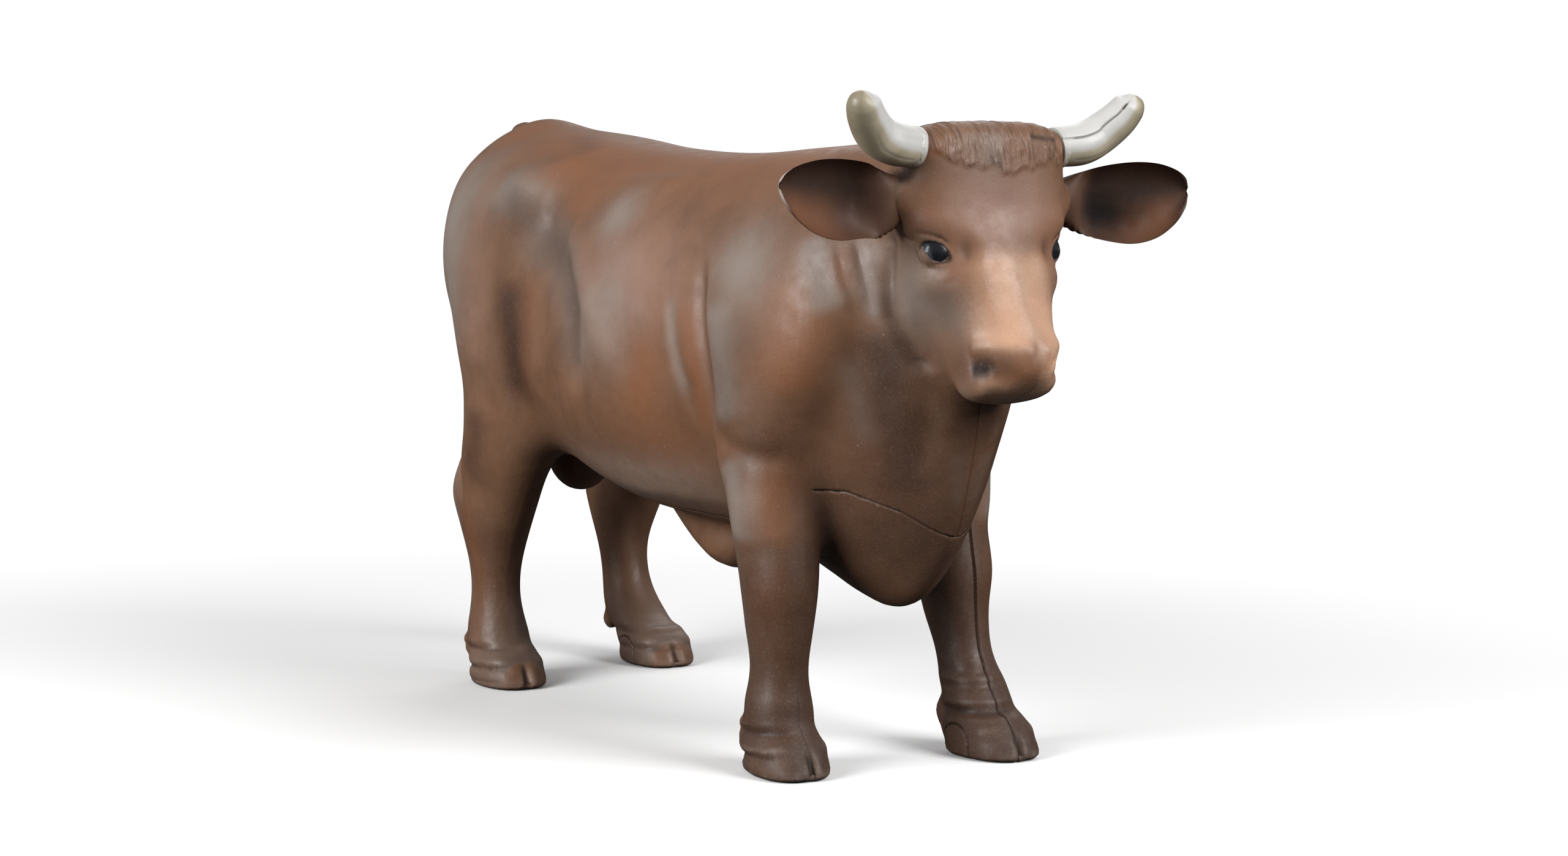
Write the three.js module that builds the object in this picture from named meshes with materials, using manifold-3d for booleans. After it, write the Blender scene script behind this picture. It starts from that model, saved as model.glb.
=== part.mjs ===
// A toy bull moulded in hard plastic: two hollow side shells, an underbody with the inner leg halves,
// a poll cap that clamps the horns, and separate ears, eyes, tail and hoof plugs.
// Millimetres. +X is the way the bull looks, +Y is its left side, +Z is up and the hooves stand on z = 0.

import * as THREE from "three";
import { mergeVertices } from "three/addons/utils/BufferGeometryUtils.js";
import Module from "manifold-3d";

const wasm = await Module();
wasm.setup();

// Driving sizes of the whole animal
const legSpacing = 100; // foreleg axis to hind leg axis
const backHeight = 100; // ground to the line of the withers
const ribHalfWidth = 27;
const hipHalfWidth = 24.5;
const shoulderHalfWidth = 25;
const neckHalfWidth = 18.3;
const wallThickness = 2.4;
const seamGap = 0.3; // between two mated mouldings
const cutOverrun = 40;

// Sizes of the head
const headLength = 41.4;
const foreheadHalfWidth = 15;
const muzzleHalfWidth = 7.8;
const faceDepth = 8; // from the line of the head to the bridge of the nose
const jawDepth = 13; // from the line of the head to the angle of the jaw
const headTilt = 17; // degrees that the face leans from upright
const nostrilHalfWidth = 1.2;
const nostrilHalfHeight = 2.1;
const nostrilHalfLength = 2;

// Sizes of the horns, ears and eyes
const hornSpread = 12.6; // middle of the head to the base of a horn
const hornReach = 11.7; // base to tip, sideways
const hornRise = 8.3;
const hornRadius = 2.8;
const hornRootLength = 4;
const earSpread = 15.6; // middle of the head to the root of an ear
const earLength = 20.9;
const earHalfHeight = 6.2;
const earHalfThickness = 2.5;
const earWall = 1.3;
const earSweep = 4; // how far the tip of an ear stands ahead of its root
const earStagger = 0.6; // how much lower the left ear is set than the middle of the two
const eyeSpread = 10.1; // middle of the head to the middle of an eyeball
const eyeRadius = 2.4;
const eyeHalfHeight = 2.1;

// Sizes of the legs
const foreTrack = 17.8; // middle of the body to the middle of a fore hoof
const hindTrack = 17.2;
const seamTrack = 17.5; // middle of the body to the seam along the legs
const elbowHalfLength = 15.5;
const thighHalfLength = 21;
const foreCannonHalfWidth = 4.4;
const hindCannonHalfWidth = 4.3;
const foreStride = 3; // how far the left foreleg steps ahead
const hindStride = 15; // how far the left hind leg trails
const hoofHalfLength = 8.4;
const hoofHalfWidth = 6.2;
const hoofHeight = 6.2;
const hoofLead = 1.5; // middle of the pastern to the middle of the hoof
const toeOut = 7; // degrees that the fore hooves turn outwards
const cleftWidth = 2;
const cleftDepth = 6.4;
const dewclawRadius = 1.7;
const dewclawHalfHeight = 2.2;
const plugHalfWidth = 3.6;
const plugHeight = 5.2;
const plugSetBack = 1.8; // middle of the hoof to the middle of its plug
const plugInset = 1.5; // leg seam to the end of the plug inside the hoof

// Sizes of the tail, the sheath and the scrotum
const tailRadius = 2.1;
const tuftRadius = 3.3;
const sheathHalfWidth = 5.2;
const scrotumHalfLength = 7.6;
const scrotumHalfWidth = 6.4;
const scrotumHalfHeight = 8.8;

// Sizes of the locating posts inside the side shells
const postRadius = 3.2;
const postLength = 23.1; // centre seam to the middle of the side wall
const postPinRadius = 1.5;
const postPinLength = 3;

// Numbers of faces
const trunkSides = 28;
const headSides = 20;
const legSides = 14;
const smallSides = 12;
const cavitySides = 16;
const plugArcSides = 6;
const loftSteps = 2;

// Powers of the rounded sections: 2 is an ellipse and a higher power is squarer
const sectionShares = { round: 2, leg: 2.1, hoof: 2.4 };

const forward = new THREE.Vector3(1, 0, 0);
const leftward = new THREE.Vector3(0, 1, 0);
const upward = new THREE.Vector3(0, 0, 1);

// A place given by shares of the leg spacing and of the back height, and by a distance to the left
function spot(alongShare, left, heightShare) {
  return new THREE.Vector3(alongShare * legSpacing, left, heightShare * backHeight);
}

// The same place on the left side (1) or on the right side (-1)
function onSide(point, side) {
  return new THREE.Vector3(point.x, side * point.y, point.z);
}

// A smooth curve through a row of numbers, so that a loft flows through its stations
function flow(a, b, c, d, t) {
  const start = 2 * b;
  const slope = c - a;
  const bend = 2 * a - 5 * b + 4 * c - d;
  const twist = 3 * b - a - 3 * c + d;
  return (start + slope * t + bend * t * t + twist * t * t * t) / 2;
}

// The stations of a loft, with more stations worked out between each pair
function flowed(stations, steps) {
  const last = stations.length - 1;
  const rows = [];
  for (let i = 0; i < last; i++) {
    const outer = [stations[Math.max(i - 1, 0)], stations[Math.min(i + 2, last)]];
    const near = [outer[0], stations[i], stations[i + 1], outer[1]];
    for (let step = 0; step < steps; step++) {
      rows.push(near[1].map((_, k) => flow(near[0][k], near[1][k], near[2][k], near[3][k], step / steps)));
    }
  }
  rows.push(stations[last]);
  return rows;
}

// A signed power of a sine or cosine, which squares or sharpens a rounded section
function squared(value, power) {
  return Math.sign(value) * Math.pow(Math.abs(value), 2 / power);
}

// One ring of a loft: half sizes across, ahead and behind, with a power for each half
function ring(centre, across, ahead, half, front, rear, frontPower, rearPower, sides) {
  const points = [];
  for (let i = 0; i < sides; i++) {
    const turn = (2 * Math.PI * i) / sides;
    const power = Math.sin(turn) >= 0 ? frontPower : rearPower;
    const reach = Math.sin(turn) >= 0 ? front : rear;
    const point = centre.clone();
    point.addScaledVector(across, half * squared(Math.cos(turn), power));
    point.addScaledVector(ahead, reach * squared(Math.sin(turn), power));
    points.push(point);
  }
  return { centre, points };
}

// A ring of an even ellipse
function ellipse(centre, across, ahead, half, reach, sides) {
  return ring(centre, across, ahead, half, reach, reach, sectionShares.round, sectionShares.round, sides);
}

// A closed skin over a row of rings, with a fan over each end
function loft(rings) {
  const sides = rings[0].points.length;
  const last = rings.length - 1;
  const corners = rings.flatMap((one) => one.points);
  const firstHub = corners.length;
  const lastHub = firstHub + 1;
  corners.push(rings[0].centre, rings[last].centre);
  const index = [];
  for (let i = 0; i < sides; i++) {
    const next = (i + 1) % sides;
    index.push(firstHub, next, i);
    index.push(lastHub, last * sides + i, last * sides + next);
    for (let row = 0; row < last; row++) {
      const here = row * sides;
      const there = here + sides;
      index.push(here + i, here + next, there + i);
      index.push(here + next, there + next, there + i);
    }
  }
  const geometry = new THREE.BufferGeometry().setFromPoints(corners);
  geometry.setIndex(index);
  return geometry;
}

// Position and index arrays of a geometry, with its doubled corners merged
function merged(geometry) {
  const bare = geometry.clone();
  bare.deleteAttribute("normal");
  bare.deleteAttribute("uv");
  return mergeVertices(bare);
}

// A geometry as a solid, turned so that its faces point out
function solid(geometry) {
  const mesh = merged(geometry);
  const vertProperties = mesh.attributes.position.array;
  const triVerts = new Uint32Array(mesh.index.array);
  const made = new wasm.Manifold(new wasm.Mesh({ numProp: 3, vertProperties, triVerts }));
  if (made.volume() > 0) return made;
  triVerts.reverse();
  return new wasm.Manifold(new wasm.Mesh({ numProp: 3, vertProperties, triVerts }));
}

function joined(solids) {
  return solids.reduce((all, one) => all.add(one));
}

// A cut solid without the crumbs that a cut leaves at a sharp corner
function whole(body) {
  return body.decompose().reduce((most, one) => (one.volume() > most.volume() ? one : most));
}

// A solid back as a geometry for its mesh
function geometryOf(body) {
  const { vertProperties, numProp, triVerts, numVert } = body.getMesh();
  const corners = new Float32Array(numVert * 3);
  for (let i = 0; i < numVert; i++) {
    corners.set(vertProperties.subarray(i * numProp, i * numProp + 3), i * 3);
  }
  const geometry = new THREE.BufferGeometry();
  geometry.setAttribute("position", new THREE.BufferAttribute(corners, 3));
  geometry.setIndex(new THREE.BufferAttribute(triVerts, 1));
  geometry.computeVertexNormals();
  return geometry;
}

// A box between two corners
function block(low, high) {
  const size = high.clone().sub(low);
  const middle = low.clone().add(high).divideScalar(2);
  const geometry = new THREE.BoxGeometry(size.x, size.y, size.z);
  geometry.translate(middle.x, middle.y, middle.z);
  return solid(geometry);
}

// A ball stretched along the axes
function ball(centre, halfLength, halfWidth, halfHeight, sides) {
  const geometry = new THREE.SphereGeometry(1, sides, Math.round(sides / 2));
  geometry.scale(halfLength, halfWidth, halfHeight);
  geometry.translate(centre.x, centre.y, centre.z);
  return solid(geometry);
}

// A tapering rod along a smooth curve, whose sections keep one axis beside the given way
function rod(path, radii, beside, sides) {
  const curve = new THREE.CatmullRomCurve3(path);
  const rings = radii.map(([share, radius]) => {
    const centre = curve.getPointAt(share);
    const along = curve.getTangentAt(share);
    const across = beside.clone().addScaledVector(along, -beside.dot(along)).normalize();
    const ahead = new THREE.Vector3().crossVectors(across, along);
    return ellipse(centre, across, ahead, radius, radius, sides);
  });
  return solid(loft(rings));
}

// A plate with the given outline, drawn along and up, and standing across the body
function crosswise(outline, right, left, sides) {
  const geometry = new THREE.ExtrudeGeometry(outline, {
    depth: left - right,
    bevelEnabled: false,
    curveSegments: sides,
  });
  geometry.rotateX(Math.PI / 2);
  geometry.translate(0, left, 0);
  return geometry;
}

// Swells and hollows of the muscles, on both sides: place, reach and lift as shares of the leg spacing
// along, of the half width of the ribs across and of the back height up
const muscleShares = [
  { name: "hip bone", at: [-0.47, 0.8, 0.9], reach: [0.055, 0.3, 0.05], lift: 0.05 },
  { name: "flank hollow", at: [-0.36, 0.95, 0.74], reach: [0.07, 0.5, 0.14], lift: -0.07 },
  { name: "rib spring", at: [-0.14, 1, 0.58], reach: [0.16, 0.6, 0.2], lift: 0.05 },
  { name: "behind the shoulder", at: [0.04, 1, 0.66], reach: [0.04, 0.5, 0.2], lift: -0.05 },
  { name: "shoulder blade", at: [0.24, 0.9, 0.72], reach: [0.12, 0.5, 0.2], lift: 0.05 },
  { name: "pin bone", at: [-0.84, 0.5, 0.91], reach: [0.06, 0.3, 0.06], lift: 0.05 },
  { name: "tail head", at: [-0.8, 0, 1], reach: [0.07, 0.24, 0.12], lift: 0.12 },
];

// A point of the trunk moved out or in by the muscles near it
function muscled(point, centre) {
  const away = point.clone().sub(centre).normalize();
  let liftShare = 0;
  for (const { at, reach, lift } of muscleShares) {
    const along = (point.x - at[0] * legSpacing) / (reach[0] * legSpacing);
    const across = (Math.abs(point.y) - at[1] * ribHalfWidth) / (reach[1] * ribHalfWidth);
    const above = (point.z - at[2] * backHeight) / (reach[2] * backHeight);
    liftShare += lift * Math.exp(-along * along - across * across - above * above);
  }
  return point.clone().addScaledVector(away, liftShare * ribHalfWidth);
}

// Trunk, neck and brisket, by the part whose half width rules them: place along, middle height, back
// line, belly line, half width, and the powers of the upper and lower half of the section
const trunkShares = {
  hip: [
    [-0.882, 0.8, 0.845, 0.755, 0.2, 2, 2],
    [-0.878, 0.8, 0.9, 0.69, 0.42, 2, 2],
    [-0.862, 0.79, 0.95, 0.62, 0.61, 2.1, 2],
    [-0.82, 0.775, 0.982, 0.56, 0.79, 2.1, 2.1],
    [-0.76, 0.76, 0.99, 0.52, 0.91, 2.1, 2.1],
    [-0.68, 0.74, 0.99, 0.47, 0.98, 2.2, 2.1],
    [-0.58, 0.71, 0.988, 0.425, 1, 2.4, 2.1],
    [-0.46, 0.68, 0.975, 0.39, 1, 2.5, 2.1],
  ],
  rib: [
    [-0.34, 0.645, 0.963, 0.362, 0.95, 2.3, 2.1],
    [-0.2, 0.62, 0.954, 0.344, 1, 2.2, 2.1],
    [-0.06, 0.62, 0.95, 0.338, 1, 2.1, 2.1],
    [0.06, 0.63, 0.952, 0.332, 0.98, 2.1, 2],
  ],
  shoulder: [
    [0.16, 0.65, 0.958, 0.312, 0.98, 2, 1.8],
    [0.26, 0.68, 0.962, 0.277, 0.96, 2, 1.7],
  ],
  neck: [
    [0.36, 0.7, 0.967, 0.243, 1.2, 2, 1.55],
    [0.44, 0.72, 0.966, 0.264, 1, 2, 1.42],
    [0.5, 0.73, 0.96, 0.318, 0.84, 2.1, 1.38],
    [0.545, 0.735, 0.945, 0.388, 0.68, 2.1, 1.42],
    [0.578, 0.735, 0.92, 0.49, 0.5, 2.1, 1.6],
    [0.592, 0.735, 0.85, 0.6, 0.22, 2, 2],
  ],
};
const trunkHalfWidths = {
  hip: hipHalfWidth,
  rib: ribHalfWidth,
  shoulder: shoulderHalfWidth,
  neck: neckHalfWidth,
};

// Stations in millimetres, from shares that are grouped by the size that rules each group
function stationsOf(groupedShares, sizes, station) {
  return Object.entries(groupedShares).flatMap(([part, rows]) => {
    return rows.map((row) => station(row, sizes[part]));
  });
}

const trunkStations = stationsOf(trunkShares, trunkHalfWidths, (row, half) => {
  const [along, middle, back, belly, width, backPower, bellyPower] = row;
  const rise = (back - middle) * backHeight;
  const drop = (middle - belly) * backHeight;
  return [along * legSpacing, middle * backHeight, rise, drop, width * half, backPower, bellyPower];
});

// The rings of the trunk, drawn in by a wall for the hollow
function trunkRings(stations, sides, wall) {
  return stations.map(([along, middle, rise, drop, half, backPower, bellyPower]) => {
    const centre = new THREE.Vector3(along, 0, middle);
    const reach = [half - wall, rise - wall, drop - wall];
    return ring(centre, leftward, upward, ...reach, backPower, bellyPower, sides);
  });
}

function trunkSolid() {
  const rings = trunkRings(flowed(trunkStations, loftSteps), trunkSides, 0);
  for (const one of rings) {
    one.points = one.points.map((point) => muscled(point, one.centre));
  }
  return solid(loft(rings));
}

// The hollow of the trunk, which stops short of the rump and of the throat
function cavitySolid() {
  return solid(loft(trunkRings(trunkStations.slice(4, -3), cavitySides, wallThickness)));
}

// The line of the head runs from the poll down to the chin
const headLean = THREE.MathUtils.degToRad(headTilt);
const headDown = new THREE.Vector3(Math.sin(headLean), 0, -Math.cos(headLean));
const faceOut = new THREE.Vector3(Math.cos(headLean), 0, Math.sin(headLean));
const pollPoint = spot(0.538, 0, 0.977);

// Head, by the part whose half width rules it: place down the line of the head, half width, depth to the
// face and to the jaw, and the powers of the face and jaw halves
const headShares = {
  forehead: [
    [0, 0.6, 0.5, 0.25, 2.4, 2],
    [0.015, 0.78, 0.9, 0.4, 3, 2],
    [0.05, 0.88, 1.2, 0.58, 3.8, 2.1],
    [0.12, 0.94, 1.24, 0.8, 3.6, 2.1],
    [0.24, 0.99, 1.1, 0.93, 2.8, 2.1],
    [0.35, 0.95, 0.99, 1, 2.5, 2.1],
    [0.46, 0.85, 0.96, 1, 2.4, 2.1],
    [0.585, 0.7, 0.96, 0.95, 2.4, 2.1],
  ],
  muzzle: [
    [0.695, 1.16, 1.03, 0.82, 2.2, 2.1],
    [0.785, 1.02, 1.17, 0.66, 2.1, 2.2],
    [0.875, 1, 1.28, 0.5, 2.1, 2.2],
    [0.945, 0.95, 1.23, 0.36, 2.1, 2.1],
    [0.98, 0.76, 0.98, 0.25, 2, 2],
    [0.995, 0.4, 0.48, 0.12, 2, 2],
  ],
};
const headHalfWidths = { forehead: foreheadHalfWidth, muzzle: muzzleHalfWidth };

const headStations = stationsOf(headShares, headHalfWidths, (row, half) => {
  const [down, width, face, jaw, facePower, jawPower] = row;
  return [down * headLength, width * half, face * faceDepth, jaw * jawDepth, facePower, jawPower];
});

function nostrilSolid(side) {
  const centre = onSide(spot(0.712, (muzzleHalfWidth * 2) / 3, 0.632), side);
  return ball(centre, nostrilHalfLength, nostrilHalfWidth, nostrilHalfHeight, smallSides);
}

function headSolid() {
  const rings = flowed(headStations, loftSteps).map(([down, half, face, jaw, facePower, jawPower]) => {
    const centre = pollPoint.clone().addScaledVector(headDown, down);
    return ring(centre, leftward, faceOut, half, face, jaw, facePower, jawPower, headSides);
  });
  return solid(loft(rings)).subtract(nostrilSolid(1)).subtract(nostrilSolid(-1));
}

// Places of the horns, ears and eyes on the left side of the head
const hornBase = spot(0.602, hornSpread, 0.952);
const earRoot = spot(0.578, earSpread, 0.884);
const eyeCentre = spot(0.622, eyeSpread, 0.804);

// Horn: it leaves the poll sideways and turns up to a blunt tip, with a root that the head clamps. Each
// step of its path is ahead, out and up
const hornPathShares = [
  [0, 0.06, 0.02],
  [0.25, 0.385, 0.07],
  [0.36, 0.645, 0.24],
  [0.88, 0.87, 0.53],
  [1.36, 0.985, 0.82],
  [1.48, 0.97, 0.98],
];
const hornRadiusShares = [
  [0, 0.86],
  [0.2, 0.98],
  [0.38, 1],
  [0.55, 0.99],
  [0.7, 0.92],
  [0.82, 0.84],
  [0.91, 0.74],
  [0.965, 0.55],
  [0.99, 0.3],
  [1, 0.1],
];

function hornSolid(side, grown) {
  const base = onSide(hornBase, side);
  const path = [base.clone().addScaledVector(leftward, -side * hornRootLength)];
  for (const [ahead, out, up] of hornPathShares) {
    const step = new THREE.Vector3(ahead * hornRadius, side * out * hornReach, up * hornRise);
    path.push(base.clone().add(step));
  }
  const radii = hornRadiusShares.map(([share, size]) => [share, size * hornRadius + grown]);
  return rod(path, radii, forward, smallSides);
}

// Ear: a leaf with a cup in its front face. Place along, drop, half height and half thickness
const earShares = [
  [-0.18, -0.04, 0.34, 0.8],
  [0, 0, 0.42, 0.85],
  [0.12, -0.02, 0.62, 0.95],
  [0.28, -0.08, 0.88, 1],
  [0.5, -0.1, 1, 1],
  [0.7, -0.05, 0.92, 0.9],
  [0.86, 0.04, 0.68, 0.7],
  [0.96, 0.13, 0.38, 0.45],
  [1, 0.17, 0.12, 0.2],
];

function earRings(side, rows, inset, shift, grown) {
  return rows.map(([along, drop, height, thickness]) => {
    const centre = onSide(earRoot, side);
    centre.x += along * earSweep + shift;
    centre.y += side * along * (earLength - inset);
    centre.z += drop * earHalfHeight - side * earStagger;
    const halfHeight = Math.max(height * earHalfHeight - inset, height * inset) + grown;
    return ellipse(centre, upward, forward, halfHeight, thickness * earHalfThickness + grown, smallSides);
  });
}

function earSolid(side) {
  const leaf = solid(loft(earRings(side, earShares, 0, 0, 0)));
  const cup = solid(loft(earRings(side, earShares.slice(1), earWall, earHalfThickness, 0)));
  return leaf.subtract(cup);
}

// The socket that takes the root of an ear
function earSocket(side) {
  const [first, ...rest] = earShares.slice(0, 5);
  const floor = [first[0] - seamGap / earLength, ...first.slice(1)];
  return solid(loft(earRings(side, [floor, first, ...rest], 0, 0, seamGap)));
}

function eyeSolid(side, grown) {
  const half = eyeRadius + grown;
  return ball(onSide(eyeCentre, side), half, half, eyeHalfHeight + grown, smallSides);
}

// Leg sections: height, place ahead of the leg's axis, place across, half length ahead and behind, half
// width, and the share of the stride that they take. Lengths are shares of the elbow's or the thigh's
const foreShares = [
  [0.055, 0.03, 1, 0.36, 0.36, 1.16, 1.4],
  [0.09, 0.025, 1, 0.335, 0.385, 1.2, 0.7],
  [0.125, 0.005, 1, 0.335, 0.36, 1.08, 0.1],
  [0.165, 0.005, 1, 0.335, 0.325, 1, -0.6],
  [0.215, 0, 1, 0.4, 0.375, 1.12, -1.2],
  [0.27, 0, 1, 0.44, 0.4, 1.26, -1.6],
  [0.33, 0, 1.01, 0.465, 0.445, 1.4, -2],
  [0.4, -0.015, 1.02, 0.465, 0.53, 1.55, -2.2],
  [0.47, -0.03, 1.01, 0.49, 0.67, 1.7, -2.1],
  [0.54, 0, 0.97, 0.62, 0.88, 1.85, -1.4],
  [0.62, 0.1, 0.9, 0.84, 1, 2.1, -0.4],
  [0.72, 0.225, 0.82, 0.97, 0.97, 2.2, 0],
  [0.82, 0.32, 0.7, 0.775, 0.775, 2, 0],
  [0.88, 0.355, 0.6, 0.45, 0.45, 1.4, 0],
];
const hindShares = [
  [0.055, 0.143, 1, 0.267, 0.286, 1.2, 0.45],
  [0.09, 0.057, 1, 0.276, 0.314, 1.25, 0.72],
  [0.125, 0.024, 1, 0.257, 0.281, 1.1, 0.86],
  [0.165, 0.01, 1, 0.238, 0.248, 1, 0.94],
  [0.215, 0.01, 1, 0.267, 0.276, 1.06, 1],
  [0.27, 0.029, 1, 0.371, 0.448, 1.24, 1],
  [0.33, 0.076, 1, 0.495, 0.648, 1.42, 0.93],
  [0.38, 0.171, 1.01, 0.571, 0.61, 1.52, 0.8],
  [0.44, 0.333, 1.01, 0.667, 0.59, 1.78, 0.56],
  [0.52, 0.4, 0.98, 0.857, 0.59, 2.1, 0.24],
  [0.6, 0.333, 0.9, 1, 0.7, 2.4, 0.06],
  [0.7, 0.238, 0.78, 1, 0.9, 2.6, 0],
  [0.8, 0.19, 0.66, 0.833, 0.857, 2.6, 0],
  [0.9, 0.19, 0.5, 0.524, 0.571, 2, 0],
];
const foreAxisShare = 0.315;
const hindAxisShare = -0.66;

const foreLeg = {
  axisShare: foreAxisShare,
  track: foreTrack,
  halfLength: elbowHalfLength,
  cannonHalfWidth: foreCannonHalfWidth,
  turn: toeOut,
  shares: foreShares,
};
const hindLeg = {
  axisShare: hindAxisShare,
  track: hindTrack,
  halfLength: thighHalfLength,
  cannonHalfWidth: hindCannonHalfWidth,
  turn: 0,
  shares: hindShares,
};
const legs = [
  { ...foreLeg, name: "fore_right", side: -1, stride: 0 },
  { ...foreLeg, name: "fore_left", side: 1, stride: foreStride },
  { ...hindLeg, name: "hind_right", side: -1, stride: 0 },
  { ...hindLeg, name: "hind_left", side: 1, stride: -hindStride },
];

function legRing(leg, [height, ahead, across, front, rear, width, stride]) {
  const centre = spot(leg.axisShare, leg.side * across * leg.track, height);
  centre.x += ahead * leg.halfLength + stride * leg.stride;
  const half = width * leg.cannonHalfWidth;
  const length = leg.halfLength;
  const power = sectionShares.leg;
  return ring(centre, leftward, forward, half, front * length, rear * length, power, power, legSides);
}

// The middle of a hoof, on the ground
function hoofCentre(leg) {
  const foot = legRing(leg, leg.shares[0]).centre;
  return new THREE.Vector3(foot.x + hoofLead, foot.y, 0);
}

function hoofTurn(leg) {
  return THREE.MathUtils.degToRad(leg.side * leg.turn);
}

// Hoof: height, slope back, half length and half width
const hoofShares = [
  [0, 0.06, 1, 0.97],
  [0.08, 0.06, 1.02, 1],
  [0.5, -0.04, 0.95, 0.97],
  [0.85, -0.13, 0.84, 0.92],
  [1, -0.17, 0.78, 0.86],
  [1.15, -0.18, 0.7, 0.8],
];

function hoofSolid(leg) {
  const ahead = forward.clone().applyAxisAngle(upward, hoofTurn(leg));
  const across = leftward.clone().applyAxisAngle(upward, hoofTurn(leg));
  const rings = hoofShares.map(([height, slope, length, width]) => {
    const centre = hoofCentre(leg).addScaledVector(ahead, slope * hoofHalfLength);
    centre.z = height * hoofHeight;
    const reach = length * hoofHalfLength;
    const power = sectionShares.hoof;
    return ring(centre, across, ahead, width * hoofHalfWidth, reach, reach, power, power, legSides);
  });
  return solid(loft(rings));
}

// The cleft between the two claws: a wedge in the front of the hoof, widest on the ground
function cleftSolid(leg) {
  const ground = hoofCentre(leg);
  const wedge = new THREE.Shape();
  wedge.moveTo(-cleftWidth / 2, -cleftDepth);
  wedge.lineTo(cleftWidth / 2, -cleftDepth);
  wedge.lineTo(0, hoofHeight);
  const geometry = new THREE.ExtrudeGeometry(wedge, { depth: cutOverrun, bevelEnabled: false });
  geometry.rotateX(Math.PI / 2);
  geometry.rotateZ(Math.PI / 2);
  geometry.translate(hoofHalfLength - cleftDepth, 0, 0);
  geometry.rotateZ(hoofTurn(leg));
  geometry.translate(ground.x, ground.y, 0);
  return solid(geometry);
}

// One of the two small claws behind the pastern
function dewclawSolid(leg, across) {
  const [height, , , , rear, width] = leg.shares[1];
  const centre = legRing(leg, leg.shares[1]).centre;
  centre.x += dewclawRadius - rear * leg.halfLength;
  centre.y += (across * width * leg.cannonHalfWidth) / 2;
  centre.z = height * backHeight - dewclawHalfHeight;
  return ball(centre, dewclawRadius, dewclawRadius, dewclawHalfHeight, smallSides);
}

function legSolid(leg) {
  const rows = flowed(leg.shares, loftSteps);
  const shank = solid(loft(rows.map((row) => legRing(leg, row))));
  const limb = joined([shank, hoofSolid(leg), dewclawSolid(leg, -1), dewclawSolid(leg, 1)]);
  return limb.subtract(cleftSolid(leg));
}

// Sheath under the belly: place along, height, half width, and how far it reaches up and down
const sheathShares = [
  [-0.31, 0.352, 0.3, 0.42, 0.24],
  [-0.25, 0.336, 0.62, 0.87, 0.5],
  [-0.19, 0.317, 0.85, 1.19, 0.68],
  [-0.13, 0.298, 0.98, 1.37, 0.78],
  [-0.08, 0.292, 0.92, 1.29, 0.74],
  [-0.04, 0.31, 0.62, 0.87, 0.5],
  [-0.025, 0.33, 0.25, 0.35, 0.2],
];

function sheathSolid() {
  const rings = sheathShares.map(([along, height, width, up, down]) => {
    const half = sheathHalfWidth;
    const centre = spot(along, 0, height);
    const power = sectionShares.round;
    return ring(centre, leftward, upward, width * half, up * half, down * half, power, power, smallSides);
  });
  return solid(loft(rings));
}

function scrotumSolid() {
  return ball(spot(-0.655, 0, 0.42), scrotumHalfLength, scrotumHalfWidth, scrotumHalfHeight, legSides);
}

// Tail: it leaves the tail head, hangs in the cleft of the buttocks and ends in a tuft
const tailPathShares = [
  [-0.83, 0.975],
  [-0.875, 0.98],
  [-0.905, 0.93],
  [-0.905, 0.8],
  [-0.895, 0.64],
  [-0.89, 0.5],
  [-0.89, 0.36],
  [-0.885, 0.28],
];

// Place along the tail, and its radius as shares of the tail's and of the tuft's
const tailRadiusShares = [
  [0, 1.1, 0],
  [0.06, 1.15, 0],
  [0.16, 1.1, 0],
  [0.3, 0.95, 0],
  [0.45, 0.8, 0],
  [0.6, 0.68, 0],
  [0.68, 0.68, 0.1],
  [0.76, 0.1, 0.75],
  [0.84, 0, 1],
  [0.92, 0, 0.85],
  [0.98, 0, 0.45],
  [1, 0, 0.14],
];

function tailSolid(grown) {
  const path = tailPathShares.map(([along, height]) => spot(along, 0, height));
  const radii = tailRadiusShares.map(([share, stem, tuft]) => {
    return [share, stem * tailRadius + tuft * tuftRadius + grown];
  });
  return rod(path, radii, leftward, smallSides);
}

// The seam over the underbody, from the buttocks along the belly and over the brisket to the chest
const bellySeamShares = [
  [-0.9, 0.5],
  [-0.56, 0.5],
  [-0.4, 0.42],
  [-0.24, 0.37],
  [0.1, 0.362],
  [0.2, 0.445],
  [0.42, 0.438],
  [0.49, 0.41],
  [0.55, 0.358],
  [0.7, 0.35],
];

// The zone of the underbody: below that seam and between the seams along the legs
function underZone(grown) {
  const [rearShare] = bellySeamShares[0];
  const [frontShare] = bellySeamShares[bellySeamShares.length - 1];
  const outline = new THREE.Shape();
  outline.moveTo(rearShare * legSpacing - cutOverrun, -cutOverrun);
  outline.lineTo(frontShare * legSpacing, -cutOverrun);
  for (const [along, height] of bellySeamShares.toReversed()) {
    outline.lineTo(along * legSpacing, height * backHeight + grown);
  }
  outline.lineTo(rearShare * legSpacing - cutOverrun, bellySeamShares[0][1] * backHeight + grown);
  return solid(crosswise(outline, -seamTrack - grown, seamTrack + grown, 1));
}

// The zone of the poll cap: the top of the head behind the axes of the horns
function pollZone(grown) {
  const low = spot(0.46, -foreheadHalfWidth - cutOverrun, 0.93);
  const high = spot(0.602, foreheadHalfWidth + cutOverrun, 1.2);
  low.x -= grown;
  low.z -= grown;
  high.x += grown;
  return block(low, high);
}

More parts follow.
